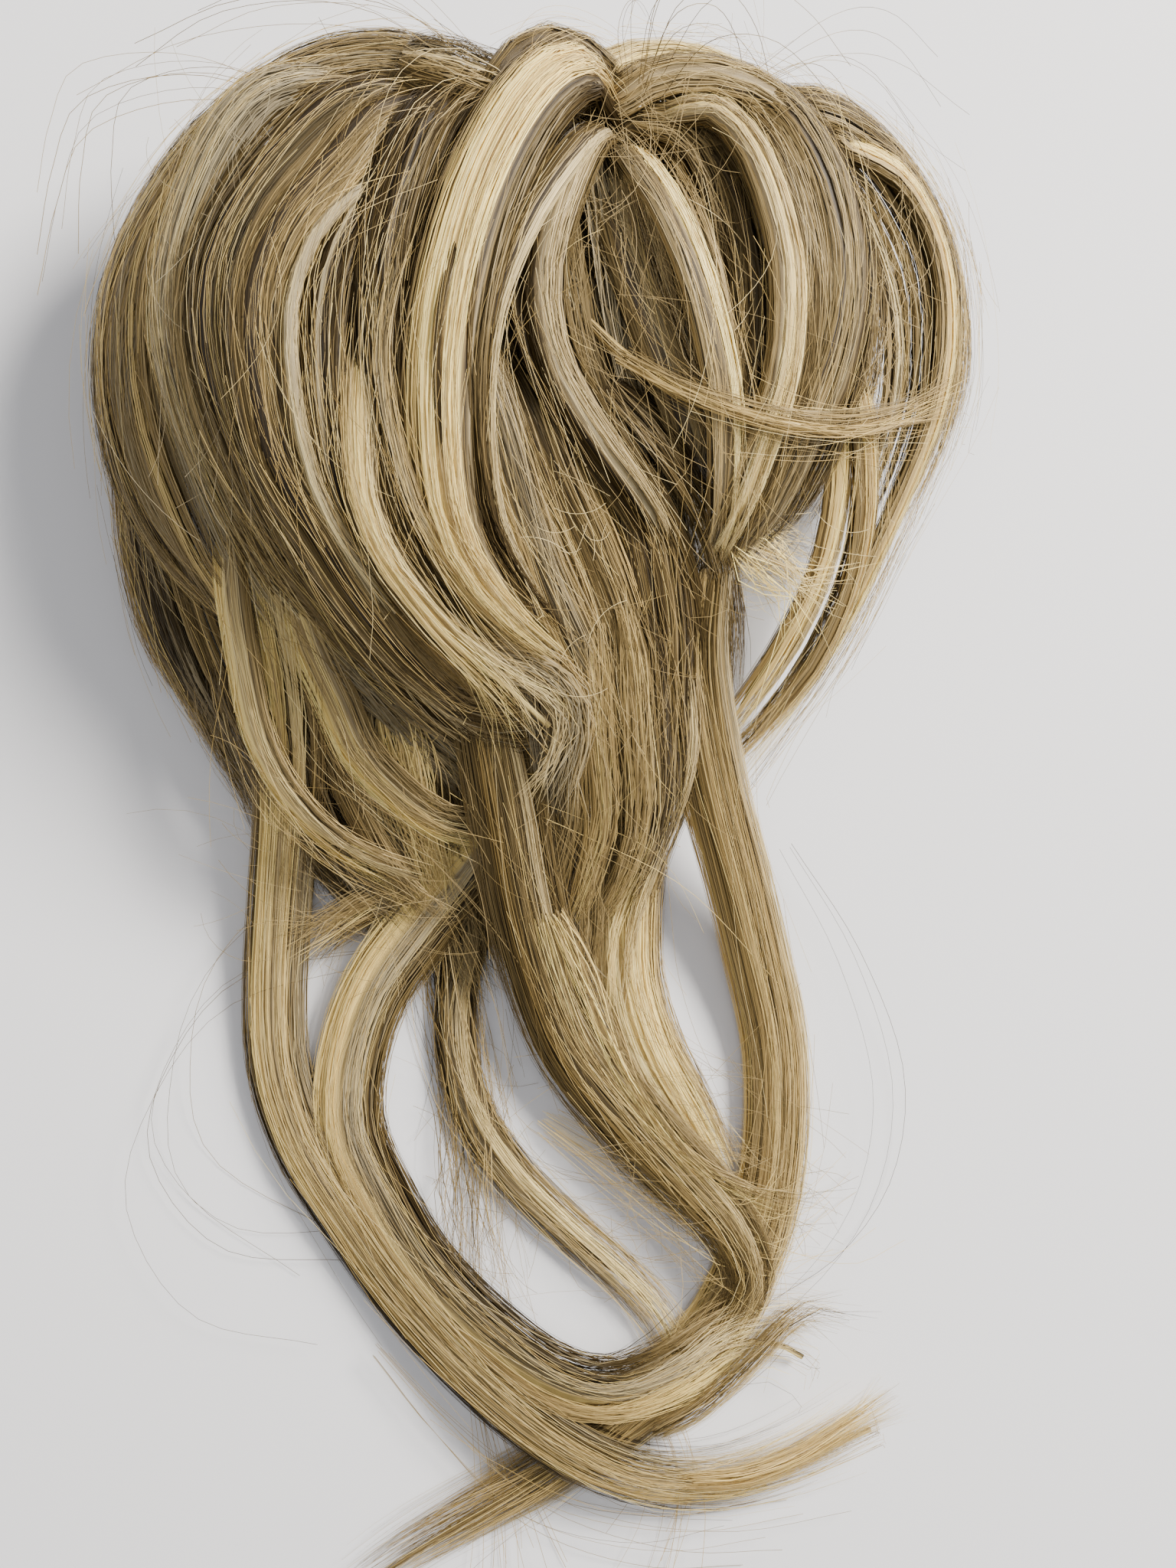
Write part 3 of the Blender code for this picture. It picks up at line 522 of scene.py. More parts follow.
def grid_mesh(name, grids, closed):
    """One mesh from grids of points: ribbons two corners wide, or closed rings with capped ends."""
    points, shades, places, quads, caps = [], [], [], [], []
    offset = 0
    for index, (corners, places_on_card) in enumerate(grids):
        rows, sections, around = corners.shape[:3]
        numbers = offset + np.arange(rows * sections * around).reshape(rows, sections, around)
        ahead = np.roll(numbers, -1, 2) if closed else numbers[..., 1:]
        here = numbers if closed else numbers[..., :-1]
        quads.append(np.stack([here[:, :-1], ahead[:, :-1], ahead[:, 1:], here[:, 1:]], -1).reshape(-1, 4))
        if closed:
            caps += [list(numbers[0, 0][::-1]), list(numbers[0, -1])]
            across = (index + 0.02 + 0.96 * np.abs(1 - 2 * np.arange(around) / around)) / len(grids)
            along = np.linspace(0.01, 0.99, sections)
            places.append(np.stack(np.broadcast_arrays(across[None], along[:, None]), -1).reshape(-1, 2))
        points.append(corners.reshape(-1, 3))
        shades.append(places_on_card.reshape(-1, 2))
        offset += rows * sections * around
    points = np.concatenate(points)
    quads = np.concatenate(quads)
    loops = np.concatenate([quads.reshape(-1)] + [np.array(cap) for cap in caps])
    sizes = np.concatenate([np.full(len(quads), 4), np.array([len(cap) for cap in caps], int)])
    mesh = bpy.data.meshes.new(name)
    mesh.vertices.add(len(points))
    mesh.vertices.foreach_set("co", points.astype(np.float32).reshape(-1))
    mesh.loops.add(len(loops))
    mesh.loops.foreach_set("vertex_index", loops.astype(np.int32))
    mesh.polygons.add(len(sizes))
    mesh.polygons.foreach_set("loop_start", np.concatenate([[0], np.cumsum(sizes)[:-1]]).astype(np.int32))
    mesh.update(calc_edges=True)
    mesh.shade_smooth()
    shade = np.concatenate(shades)
    layers = {"shade_card": shade, "OFBake": np.concatenate(places)} if closed else {"OFBake": shade}
    for layer, values in layers.items():
        mesh.uv_layers.new(name=layer).data.foreach_set("uv", values[loops].astype(np.float32).reshape(-1))
    thing = bpy.data.objects.new(name, mesh)
    bpy.context.scene.collection.objects.link(thing)
    return thing


def linear(code):
    """Linear colour of an sRGB hex value."""
    values = [int(code[k:k + 2], 16) / 255 for k in (1, 3, 5)]
    return (*(v / 12.92 if v <= 0.04045 else ((v + 0.055) / 1.055) ** 2.4 for v in values), 1)


def add(tree, kind, settings=None, **links):
    """Add a node, set its values and link its inputs, whose names are written with underscores."""
    node = tree.nodes.new(kind)
    for name, value in (settings or {}).items():
        if hasattr(node, name):
            setattr(node, name, value)
        else:
            node.inputs[name].default_value = value
    for name, source in links.items():
        key = int(name[1:]) if name[0] == "i" and name[1:].isdigit() else name.replace("_", " ")
        tree.links.new(source, node.inputs[key])
    return node


def fill_ramp(node, codes):
    """Set a colour ramp's stops to evenly spaced hex colours."""
    ramp = node.color_ramp
    while len(ramp.elements) < len(codes):
        ramp.elements.new(0.5)
    for k, code in enumerate(codes):
        ramp.elements[k].position = k / (len(codes) - 1)
        ramp.elements[k].color = linear(code)


def blank_material(name):
    """A material with an empty node tree and its output."""
    material = bpy.data.materials.new(name)
    material.use_nodes = True
    material.node_tree.nodes.clear()
    return material, material.node_tree


def shade_card_colour(tree, light, ash):
    """Colour at a place on the shade card: a warm ramp and an ash ramp, mixed."""
    warm = add(tree, "ShaderNodeValToRGB", Fac=light)
    cool = add(tree, "ShaderNodeValToRGB", Fac=light)
    fill_ramp(warm, WARM_CARD)
    fill_ramp(cool, ASH_CARD)
    mix = add(tree, "ShaderNodeMix", {"data_type": "RGBA"}, i0=ash, i6=warm.outputs[0], i7=cool.outputs[0])
    return mix.outputs[2]


def spun_fibre():
    """Modacrylic fibre drawn through a spinneret and steam-set: satin, each hair its own tone from the shade
    card, which is its dye with painted shade and highlight mixed in.
    """
    material, tree = blank_material("modacrylic_fibre_spun")
    card = add(tree, "ShaderNodeUVMap", {"uv_map": "OFBake"})
    axes = add(tree, "ShaderNodeSeparateXYZ", Vector=card.outputs[0])
    colour = shade_card_colour(tree, axes.outputs[0], axes.outputs[1])
    finish = {"Roughness": 0.38, "IOR": 1.52, "Specular IOR Level": 0.32, "Specular Tint": linear("#ffe9bc")}
    shader = add(tree, "ShaderNodeBsdfPrincipled", finish, Base_Color=colour)
    add(tree, "ShaderNodeOutputMaterial", Surface=shader.outputs[0])
    return material


def combed_fibre():
    """The same fibre in bulk inside a lock: fine streaks along it, with grooves between the hairs, and a tone
    painted darker than the hairs over it as shade.
    """
    material, tree = blank_material("modacrylic_fibre_combed")
    card = add(tree, "ShaderNodeUVMap", {"uv_map": "shade_card"})
    axes = add(tree, "ShaderNodeSeparateXYZ", Vector=card.outputs[0])
    where = add(tree, "ShaderNodeUVMap", {"uv_map": "OFBake"})
    fine = add(tree, "ShaderNodeVectorMath", {"operation": "MULTIPLY"}, i0=where.outputs[0])
    fine.inputs[1].default_value = HAIR_STREAKS
    broad = add(tree, "ShaderNodeVectorMath", {"operation": "MULTIPLY"}, i0=where.outputs[0])
    broad.inputs[1].default_value = TUFT_STREAKS
    hairs = add(tree, "ShaderNodeTexNoise", {"Scale": 1.0, "Detail": 3.0}, Vector=fine.outputs[0])
    tufts = add(tree, "ShaderNodeTexNoise", {"Scale": 1.0, "Detail": 2.0}, Vector=broad.outputs[0])
    both = add(tree, "ShaderNodeMath", {"operation": "ADD"}, i0=hairs.outputs[0], i1=tufts.outputs[0])
    lighter_or_darker = {"From Min": 0.6, "From Max": 1.4, "To Min": -0.22, "To Max": 0.16}
    spread = add(tree, "ShaderNodeMapRange", lighter_or_darker, Value=both.outputs[0])
    light = add(tree, "ShaderNodeMath", {"operation": "ADD"}, i0=axes.outputs[0], i1=spread.outputs[0])
    colour = shade_card_colour(tree, light.outputs[0], axes.outputs[1])
    bump = add(tree, "ShaderNodeBump", {"Strength": 0.6, "Distance": 0.12 * MM}, Height=hairs.outputs[0])
    finish = {"Roughness": 0.5, "IOR": 1.52, "Specular IOR Level": 0.3}
    shader = add(tree, "ShaderNodeBsdfPrincipled", finish, Base_Color=colour, Normal=bump.outputs[0])
    add(tree, "ShaderNodeOutputMaterial", Surface=shader.outputs[0])
    return material


def braided_elastic(node_name):
    """Elastic cord braided over rubber: matt, with slanted bands of yarn, coarser than the real picks."""
    material, tree = blank_material("polyester_elastic_braided")
    where = add(tree, "ShaderNodeTexCoord")
    wave = {"wave_type": "BANDS", "bands_direction": "DIAGONAL", "Distortion": 1.5, "Detail": 1.0,
            "Scale": BRAID_SCALE}
    picks = add(tree, "ShaderNodeTexWave", wave, Vector=where.outputs["Object"])
    ramp = add(tree, "ShaderNodeValToRGB", Fac=picks.outputs[0])
    fill_ramp(ramp, ("#4a3820", "#8a7148"))
    bump = add(tree, "ShaderNodeBump", {"Strength": 0.8, "Distance": 0.2 * MM}, Height=picks.outputs[0])
    shader = add(tree, "ShaderNodeBsdfPrincipled", {"Roughness": 0.8, "IOR": 1.5}, Base_Color=ramp.outputs[0],
                 Normal=bump.outputs[0])
    add(tree, "ShaderNodeOutputMaterial", Surface=shader.outputs[0])
    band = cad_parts[node_name]
    band.data.materials.clear()
    band.data.materials.append(material)


def painted_floor():
    """Matt painted board: plain and pale, with the faintest roller stipple."""
    material, tree = blank_material("emulsion_paint_rolled")
    where = add(tree, "ShaderNodeTexCoord")
    stipple = add(tree, "ShaderNodeTexNoise", {"Scale": 400.0, "Detail": 2.0}, Vector=where.outputs["Object"])
    bump = add(tree, "ShaderNodeBump", {"Strength": 0.05, "Distance": 0.1 * MM}, Height=stipple.outputs[0])
    finish = {"Roughness": 0.85, "IOR": 1.5, "Base Color": linear("#e6e6e9")}
    shader = add(tree, "ShaderNodeBsdfPrincipled", finish, Normal=bump.outputs[0])
    add(tree, "ShaderNodeOutputMaterial", Surface=shader.outputs[0])
    return material


SLOTS = {
    "crossing_wisp": "golden_fibre", "crown_lock": "cream_fibre", "left_wing": "golden_fibre",
    "right_wing": "ash_fibre", "filling_hair": "shadow_fibre", "tendril_outer": "golden_fibre",
    "tendril_cream": "cream_fibre", "tendril_centre": "golden_fibre", "tendril_right": "golden_fibre",
    "tendril_small": "ash_fibre", "tendril_inner": "cream_fibre",
}
# Thinner locks spread between two neighbours: node, the two locks, share of the way, tones, how full
VEILS = (
    ("right_wing", "right_umber", "right_inner", 0.50, "umber brown shadow brown", 0.9),
    ("right_wing", "right_umber", "right_inner", 0.22, "brown umber brown", 0.8),
    ("right_wing", "right_umber", "right_inner", 0.78, "brown umber tan", 0.8),
    ("right_wing", "right_brown", "right_inner", 0.25, "tan brown tan brown", 0.8),
    ("right_wing", "right_brown", "right_inner", 0.50, "brown tan brown umber", 0.8),
    ("right_wing", "right_loop", "right_brown", 0.28, "brown tan brown", 0.9),
    ("right_wing", "right_loop", "right_brown", 0.50, "tan brown tan ash", 0.9),
    ("right_wing", "right_loop", "right_brown", 0.72, "tan ash tan brown", 0.8),
    ("right_wing", "right_thin", "right_loop", 0.50, "umber tan umber brown", 0.7),
    ("right_wing", "right_cream", "right_thin", 0.50, "brown tan umber", 0.5),
    ("right_wing", "right_pale", "right_hem", 0.50, "beige umber tan", 0.6),
    ("right_wing", "right_ash", "right_silver", 0.50, "beige ash umber", 0.6),
    ("right_wing", "top_pale", "top_veil", 0.50, "tan beige brown", 0.6),
    ("left_wing", "left_ash", "left_brown", 0.5, "brown tan umber tan brown", 0.8),
    ("left_wing", "left_brown", "left_gold", 0.5, "brown tan brown tan", 0.8),
    ("left_wing", "left_shade", "crown_blonde", 0.35, "umber brown umber", 0.4),
)
# Locks of loose strands with no body of their own, in the same columns as the locks, with how loose and how
# full they are before the route
TUFTS = (
    ("filling_hair", 14, 9, 0.3, "tan gold honey tan brown honey tan umber gold", 0.0, 0.9, (
        (52, 74, 66), (54, 87, 56), (56, 98, 38), (55, 107, 22), (53, 114, 12))),
    ("filling_hair", 9, 6, 0.4, "ash brown tan brown umber", 0.0, 0.8, (
        (46, 76, 68), (49, 89, 52), (51, 100, 34), (52, 110, 20), (53, 122, 9))),
    ("filling_hair", 8, 5, 0.3, "tan butter beige tan", 0.0, 0.8, (
        (61, 82, 54), (62, 94, 38), (60, 105, 20), (58, 115, 9), (58, 126, 5))),
    ("filling_hair", 10, 7, 0.8, "brown tan brown ash", 0.07, 0.7, (
        (36, 86, 34), (39, 97, 24), (43, 107, 12), (48, 116, 6), (52, 124, 4))),
    ("filling_hair", 10, 7, 0.8, "tan beige brown tan ash", 0.06, 0.7, (
        (20, 80, 36), (23, 92, 26), (28, 102, 15), (34, 110, 8))),
    ("filling_hair", 10, 8, 0.8, "tan beige honey tan", 0.06, 0.7, (
        (29, 86, 40), (31, 96, 30), (34, 105, 17), (37, 113, 8))),
    ("filling_hair", 6, 9, 0.9, "tan butter brown beige", 0.12, 0.5, (
        (38, 104, 14), (32, 109, 14), (26, 113, 10), (20, 118, 6))),
    ("filling_hair", 12, 10, 0.7, "brown tan ash brown tan", 0.0, 0.7, (
        (20, 88, 30), (23, 98, 22), (28, 107, 14), (35, 115, 8))),
    ("filling_hair", 7, 6, 0.2, "tan cream pale tan butter beige cream tan", 0.02, 1.1, (
        (16.3, 64, 52), (17.6, 74, 47), (19.3, 85, 38), (19.9, 94, 30), (19.6, 102, 20))),
    # Thin dark hairs along the crown's partings: painted shade in the gaps between its sub-locks
    ("crown_lock", 1.0, 1.0, 0.1, "umber shadow", 0.0, 1.5, (
        (34.5, 33, 101), (32.7, 40.3, 104), (32, 45.5, 104), (32.1, 52.1, 102), (33, 58.3, 99.5),
        (34.8, 63, 96))),
    ("crown_lock", 0.6, 0.6, 0.1, "umber brown", 0.0, 1.5, (
        (38.6, 27, 99), (36.6, 34, 102.5), (35.6, 41, 103.5), (35.3, 48, 102.5), (35.6, 54, 100))),
    ("left_wing", 8, 8, 0.9, "beige ash tan honey beige tan", 0.08, 0.6, (
        (28, 81, 50), (33, 86, 47), (38, 90, 42), (43, 95, 35), (47, 101, 25))),
    ("left_wing", 7, 7, 0.8, "silver beige tan ash", 0.08, 0.6, (
        (22, 78, 48), (27, 85, 44), (32, 91, 38), (38, 97, 30))),
    ("right_wing", 10, 7, 0.2, "brown tan brown tan", 0.02, 0.9, (
        (50, 15, 62), (55, 10.5, 62), (62, 10, 60), (68, 12.5, 60), (73, 18, 60))),
    ("left_wing", 10, 7, 0.2, "brown tan brown tan", 0.02, 0.9, (
        (22, 12.5, 62), (29, 11.5, 66), (37, 13.5, 68), (45, 16, 68))),
    ("left_wing", 7, 6, 0.3, "brown tan ash brown", 0.06, 0.9, (
        (30, 10, 74), (34, 11.2, 78), (38, 12.6, 79), (43, 14.5, 77))),
    ("left_wing", 8, 6, 0.2, "brown tan gold tan brown ash", 0.0, 0.9, (
        (14, 17, 60), (8, 25, 56), (4.8, 33, 52), (4, 42, 50), (5, 52, 49), (8, 62, 47), (12, 71, 45),
        (17, 78, 42))),
    ("left_wing", 7, 6, 0.3, "brown umber tan brown", 0.0, 0.9, (
        (9, 40, 52), (10, 50, 51), (13, 60, 47), (17, 69, 43), (22, 77, 38), (28, 83, 32))),
    ("left_wing", 5, 8, 0.8, "tan beige ash tan", 0.12, 0.3, (
        (38.5, 80.5, 74), (44.5, 82.5, 71), (48, 86, 66), (48.5, 90, 61), (47.3, 94.5, 56),
        (45.5, 98.5, 51))),
    ("right_wing", 5, 3, 0.6, "tan brown tan brown", 0.10, 0.8, (
        (84, 14, 58), (90, 21, 52), (94, 31, 46), (95, 41, 43), (93, 51, 41), (89, 61, 37))),
    ("filling_hair", 9, 9, 1.0, "brown umber tan brown", 0.08, 0.6, (
        (37, 92, 22), (36.5, 103, 11), (38, 114, 5), (42, 125, 3.6))),
    ("filling_hair", 6, 7, 1.5, "tan gold tan", 0.35, 0.14, (
        (35, 108, 8), (37, 122, 4), (40, 136, 3.6), (41, 150, 3.6), (42, 164, 3.6))),
    ("tendril_cream", 7, 12, 1.2, "tan butter beige tan", 0.12, 0.3, (
        (62, 180, 12), (68, 176.5, 14), (74, 171, 14), (80, 166, 10), (86, 167, 7))),
    ("tendril_outer", 6, 10, 1.0, "butter cream pale honey", 0.12, 0.5, (
        (66, 187.5, 8), (73, 187.5, 7), (80.5, 185.5, 6), (87.5, 182, 5), (94, 178, 4))),
    ("tendril_centre", 5, 10, 1.2, "butter honey cream tan", 0.25, 0.22, (
        (48, 112, 30), (54, 126, 16), (60, 137, 15), (67, 145.5, 15), (75, 150, 12), (83, 151, 9))),
    ("filling_hair", 10, 8, 0.8, "tan brown tan umber", 0.10, 0.6, (
        (12, 80, 26), (15, 90, 22), (20, 100, 15), (24, 110, 7))),
    ("right_wing", 4, 11, 1.8, "butter cream beige butter", 0.40, 0.16, (
        (64.5, 63, 60), (68, 66, 60), (72.5, 69, 55), (77.5, 74, 46))),
    ("right_wing", 10, 8, 0.3, "brown umber brown tan brown umber", 0.0, 0.9, (
        (50, 49, 74), (55, 56, 74), (59.5, 63, 69), (62.8, 70, 60), (64.8, 77.5, 50), (66, 86, 40))),
    ("crossing_wisp", 2.2, 6, 0.7, "gold honey gold tan", 0.25, 0.16, (
        (52, 44.5, 82), (58.5, 49, 88), (65.3, 51.6, 91), (71.8, 52.6, 90), (79, 51.5, 81), (87.5, 48, 64),
        (95, 44, 52))),
    ("right_wing", 7, 7, 0.3, "brown tan brown tan", 0.06, 0.9, (
        (55, 14, 70), (60, 15.5, 74), (63.5, 21, 76), (65, 29, 76), (65.5, 38, 75), (65, 47, 73))),
    ("right_wing", 12, 9, 0.2, "brown tan brown ash umber brown", 0.0, 0.7, (
        (56, 15, 60), (60, 26, 62), (63, 38, 62), (64, 50, 60), (63, 62, 54))),
    ("right_wing", 12, 9, 0.2, "brown tan ash brown brown", 0.0, 0.8, (
        (49, 17, 64), (50.5, 28, 67), (52, 40, 67), (55, 51, 64), (59, 62, 58))),
    ("right_wing", 13, 6, 0.2, "brown tan brown umber brown", 0.0, 0.7, (
        (64, 15, 58), (70, 26, 57), (73, 36, 56), (70, 48, 54), (65, 60, 48))),
    ("left_wing", 10, 6, 0.5, "gold tan brown ash tan brown", 0.0, 0.8, (
        (4, 38, 50), (3, 49, 42), (4.5, 60, 32), (6.5, 71, 25), (10, 82, 20), (15, 92, 15), (19, 102, 9))),
)
# Single stray hairs: how many, how far they stray in mm, tone, thickness in mm, and the route
STRAYS = (
    (3, 5, "brown", 0.10, (
        (30, 118, 8), (14, 122, 10), (6, 134, 8), (5, 146, 5), (14, 158, 4), (30, 161, 5))),
    (2, 4, "brown", 0.10, ((26, 104, 8), (12, 118, 10), (8, 132, 8), (10, 146, 4), (24, 158, 4))),
    (3, 5, "umber", 0.08, (
        (79, 104, 9), (87, 118, 8), (92, 134, 6), (90, 148, 4), (82, 158, 5), (70, 164, 8))),
    (7, 4, "tan", 0.10, ((26, 20, 70), (12, 12, 60), (0, 14, 50), (-3, 22, 45), (-4, 32, 40))),
    (9, 6, "tan", 0.10, ((40, 14, 80), (28, 4, 78), (14, 1, 66), (4, 4, 55))),
    (6, 6, "brown", 0.10, ((66, 10, 74), (76, 2, 74), (84, 0, 66), (92, 4, 55))),
    (6, 5, "brown", 0.10, ((54, 12, 80), (54, 5, 88), (58, 0, 84), (64, 0, 74))),
    (5, 5, "umber", 0.12, ((56, 12, 78), (60, 4, 82), (66, 2, 80), (71, 6, 76), (75, 14, 72))),
    (12, 4, "tan", 0.09, ((40, 118, 6), (42, 130, 4), (43, 142, 3), (42, 154, 3), (43, 166, 4))),
    (14, 4, "gold", 0.09, ((41, 172, 4), (43, 180, 4), (45, 190, 3), (46, 198, 3))),
    (12, 4, "gold", 0.09, ((58, 172, 5), (64, 180, 5), (66, 190, 4), (64, 200, 3))),
    (8, 5, "tan", 0.08, ((30, 168, 8), (38, 178, 8), (50, 190, 6), (66, 196, 4), (80, 196, 3))),
    (12, 7, "tan", 0.07, ((44, 108, 24), (52, 122, 16), (60, 134, 16), (68, 144, 16), (78, 150, 8))),
    (30, 7, "honey", 0.07, ((50, 140, 6), (60, 147, 10), (70, 153, 15), (78, 156, 16), (84, 154, 8))),
    (9, 9, "honey", 0.07, ((38, 96, 44), (48, 100, 44), (58, 104, 34), (66, 112, 20))),
    (10, 8, "tan", 0.07, ((30, 100, 34), (38, 110, 26), (44, 122, 16), (46, 136, 6))),
)
# Frizz: how many short hairs, tone, middle, spread in mm across, down and up, heading in degrees from
# straight down towards the right, how far that varies, and length in mm
FRIZZ = (
    (30, "tan", (43, 61, 84), (6, 13, 2), 20, 24, 24),
    (20, "beige", (46, 66, 82), (5, 9, 2), 60, 50, 10),
    (70, "tan", (56, 27, 80), (8, 9, 3), 12, 25, 34),
    (50, "tan", (60, 20, 80), (8, 6, 3), -50, 35, 30),
    (80, "tan", (60, 42, 86), (7, 12, 2), 22, 22, 32),
    (160, "beige", (72, 66, 52), (5, 5, 3), 62, 30, 15),
    (90, "tan", (80, 38, 74), (5, 12, 3), 5, 25, 24),
    (100, "tan", (52, 78, 68), (7, 10, 2), 18, 18, 26),
    (60, "tan", (50, 100, 42), (9, 10, 3), 22, 22, 26),
    (60, "tan", (26, 92, 42), (8, 8, 3), 45, 20, 26),
    (90, "ash", (14, 40, 74), (6, 18, 2), 3, 20, 24),
    (30, "brown", (27, 30, 94), (5, 12, 1), -15, 20, 24),
    (110, "tan", (30, 108, 22), (10, 8, 3), 50, 35, 20),
    (220, "tan", (66, 148, 14), (10, 9, 2), 68, 25, 24),
    (130, "tan", (42, 146, 4), (4, 14, 1), 10, 25, 20),
)
# Plan outline of the filling hair, and its rings: size of the outline, drift to the left and height, all in
# percent
FILLING_OUTLINE = (
    (44, 10), (30, 11), (18, 20), (10, 36), (9, 54), (15, 70), (26, 83), (42, 95),
    (54, 97), (61, 86), (62, 72), (65, 58), (71, 44), (73, 28), (66, 15), (56, 10),
)
FILLING_RINGS = (
    (90, 0, 0), (97, 0, 7), (100, 0, 20), (95, 2, 40), (79, 7, 56), (56, 10, 68), (30, 11, 76),
)
HOLLOW_RADIUS = 28.3 * MM
HOLLOW_HEIGHT = 24 * MM
# Rings of the hollow from its middle to its rim, in shares of its radius and height
HOLLOW_RINGS = ((0.02, 1), (0.5, 1), (0.93, 1), (1, 0.95), (1, 0.5), (1, 0.03))
OUTLINE_SAMPLES = 300
FILLING_SIDES = 120
# Rings that close the filling's top, as shares of its last ring, and how far they rise
CROWN_RINGS = (0.6, 0.2, 0.02)
CROWN_RISE = 0.4 * MM
# Height of the place that the wraps stand out from, in percent, and how much they lean upwards
WRAP_CENTRE = 20
WRAP_LEAN = (1, 1, 1.6)


def filling_surface():
    """Functions of the filling's dome: its outline read at a turn, and a point at a turn and a level."""
    lap = place([(across, down, 0) for across, down in FILLING_OUTLINE])
    laps, _ = smooth_curve(np.vstack([lap, lap, lap]), 3 * OUTLINE_SAMPLES)
    outline = laps[OUTLINE_SAMPLES:2 * OUTLINE_SAMPLES]
    centre = lap.mean(0)
    profile, _ = smooth_curve(np.array(FILLING_RINGS, float), 60)

    def at(turn, level):
        step = turn % 1 * len(outline)
        x = np.interp(step, range(len(outline) + 1), np.append(outline[:, 0], outline[0, 0]))
        y = np.interp(step, range(len(outline) + 1), np.append(outline[:, 1], outline[0, 1]))
        steps = np.linspace(0, 1, len(profile))
        size, drift, up = (np.interp(level, steps, profile[:, j]) * PERCENT for j in range(3))
        return np.stack([centre[0] + (x - centre[0]) * size - drift * BUN_WIDTH,
                         centre[1] + (y - centre[1]) * size, up * BUN_HEIGHT + 0 * x], -1)

    return at


def filling_body():
    """Closed body of the filling: the room for the wearer's bun, its rim on the floor, and the dome."""
    at = filling_surface()
    turn = np.linspace(0, 1, FILLING_SIDES, endpoint=False)
    middle = place([(*BAND_PLACE, 0)])[0]
    outer = at(turn, np.zeros(FILLING_SIDES))
    angle = np.arctan2(outer[:, 1] - middle[1], outer[:, 0] - middle[0])
    rings = []
    for radius, height in HOLLOW_RINGS:
        ring = middle + HOLLOW_RADIUS * radius * np.stack([np.cos(angle), np.sin(angle), 0 * angle], 1)
        ring[:, 2] = HOLLOW_HEIGHT * height
        rings.append(ring)
    rings += [at(turn, np.full(FILLING_SIDES, level)) * (0.985, 0.985, 1) for level in np.linspace(0, 1, 30)]
    top = rings[-1].mean(0)
    rings += [top + (rings[-1] - top) * share + (0, 0, CROWN_RISE * (1 - share)) for share in CROWN_RINGS]
    points = np.array(rings)[:, ::-1]
    light = np.full(points.shape[:2], 0.18)
    return points[None], np.stack([light, light * 0 + 0.15], -1)[None]


def filling_strands(count, rng):
    """Short hair that wraps round the dome from the gather at the top to the lower end."""
    at = filling_surface()
    run = np.linspace(0, 1, WRAP_POINTS)[None]
    right = rng.random((count, 1)) < WRAPS_ON_RIGHT
    turn = np.where(right, 1 - 0.47 * run, 0.47 * run) + rng.normal(0, 0.012, (count, 1))
    level = rng.uniform(0.0, 0.97, (count, 1)) ** 1.1
    for waves in WRAP_WAVES:
        level = level + rng.normal(0, 0.04 / waves ** 1.6, (count, 1)) * np.sin(
            waves * 2 * pi * run + rng.uniform(0, 2 * pi, (count, 1)))
    level = np.clip(level, 0.01, 0.99)
    points = at(turn, level)
    out = unit((points - place([(*DOME_CENTRE, WRAP_CENTRE)])[0]) * WRAP_LEAN)
    points = points + out * rng.uniform(0.1, 1.6, (count, 1, 1)) * MM
    ahead = unit(np.gradient(points, axis=1))
    broad = unit(np.cross(ahead, out))
    broad = rolled(broad, ahead, rng.normal(0, radians(WRAP_ROLL), (count, 1, 1)))
    half = 0.5 * WRAP_WIDTH * rng.uniform(0.8, 1.3, (count, 1, 1))
    tones = np.array([TONES[name] for name in ("brown", "tan", "brown", "tan", "umber", "ash")])
    bands = (level[:, :1] * 14 + rng.normal(0, 0.5, (count, 1))).astype(int)[:, 0] % len(tones)
    light = tones[bands, :1] + rng.normal(0, 0.05, (count, 1)) + 0 * run
    ash = tones[bands, 1:] + rng.normal(0, 0.05, (count, 1)) + 0 * run
    return ribbon_corners(points, broad, half), np.repeat(card_places(light, ash)[:, :, None], 2, 2)


def add_piece(name, grids, closed, material, node):
    """Make a piece that stands for a CAD node."""
    thing = grid_mesh(name, grids, closed)
    thing.data.materials.append(material)
    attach(thing, "root")
    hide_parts(node)
    return thing


def hair_count(width, full):
    """How many hairs a lock of this width has."""
    return int(width / MM * STRANDS_PER_MM * full)


def lock_bodies(node, routes, rng):
    """The inner bodies of a node's locks."""
    bodies = []
    for name, (owner, _, _, fray, tones, _) in LOCKS.items():
        if owner == node:
            fullness = WISP_BODY if name == "wisp" else BODY_FULLNESS
            bodies.append(body_grid(routes[name], tones, fray, fullness, rng))
    return bodies


def lock_strands(node, routes, rng):
    """The strands of a node's locks, of the veils between them and of its tufts."""
    strands = []
    for name, (owner, widest, _, fray, tones, _) in LOCKS.items():
        if owner == node:
            count = hair_count(widest * PERCENT * BUN_WIDTH, WISP_HAIRS if name == "wisp" else 1)
            strands.append(strand_grid(routes[name], tones, fray, count, rng, name=name))
    for owner, first, second, mix, tones, full in VEILS:
        if owner == node:
            route = halfway(routes[first], routes[second], mix)
            route.points[:, 2] -= VEIL_DROP
            count = hair_count(route.half.max() * 2, full)
            strands.append(strand_grid(route, tones, VEIL_FRAY, count, rng))
    for owner, widest, tip, fray, tones, loose, full, stations in TUFTS:
        if owner == node:
            route = Route(stations, widest, tip, False)
            count = hair_count(route.half.max() * 2, full)
            strands.append(strand_grid(route, tones, fray, count, rng, loose))
    return strands


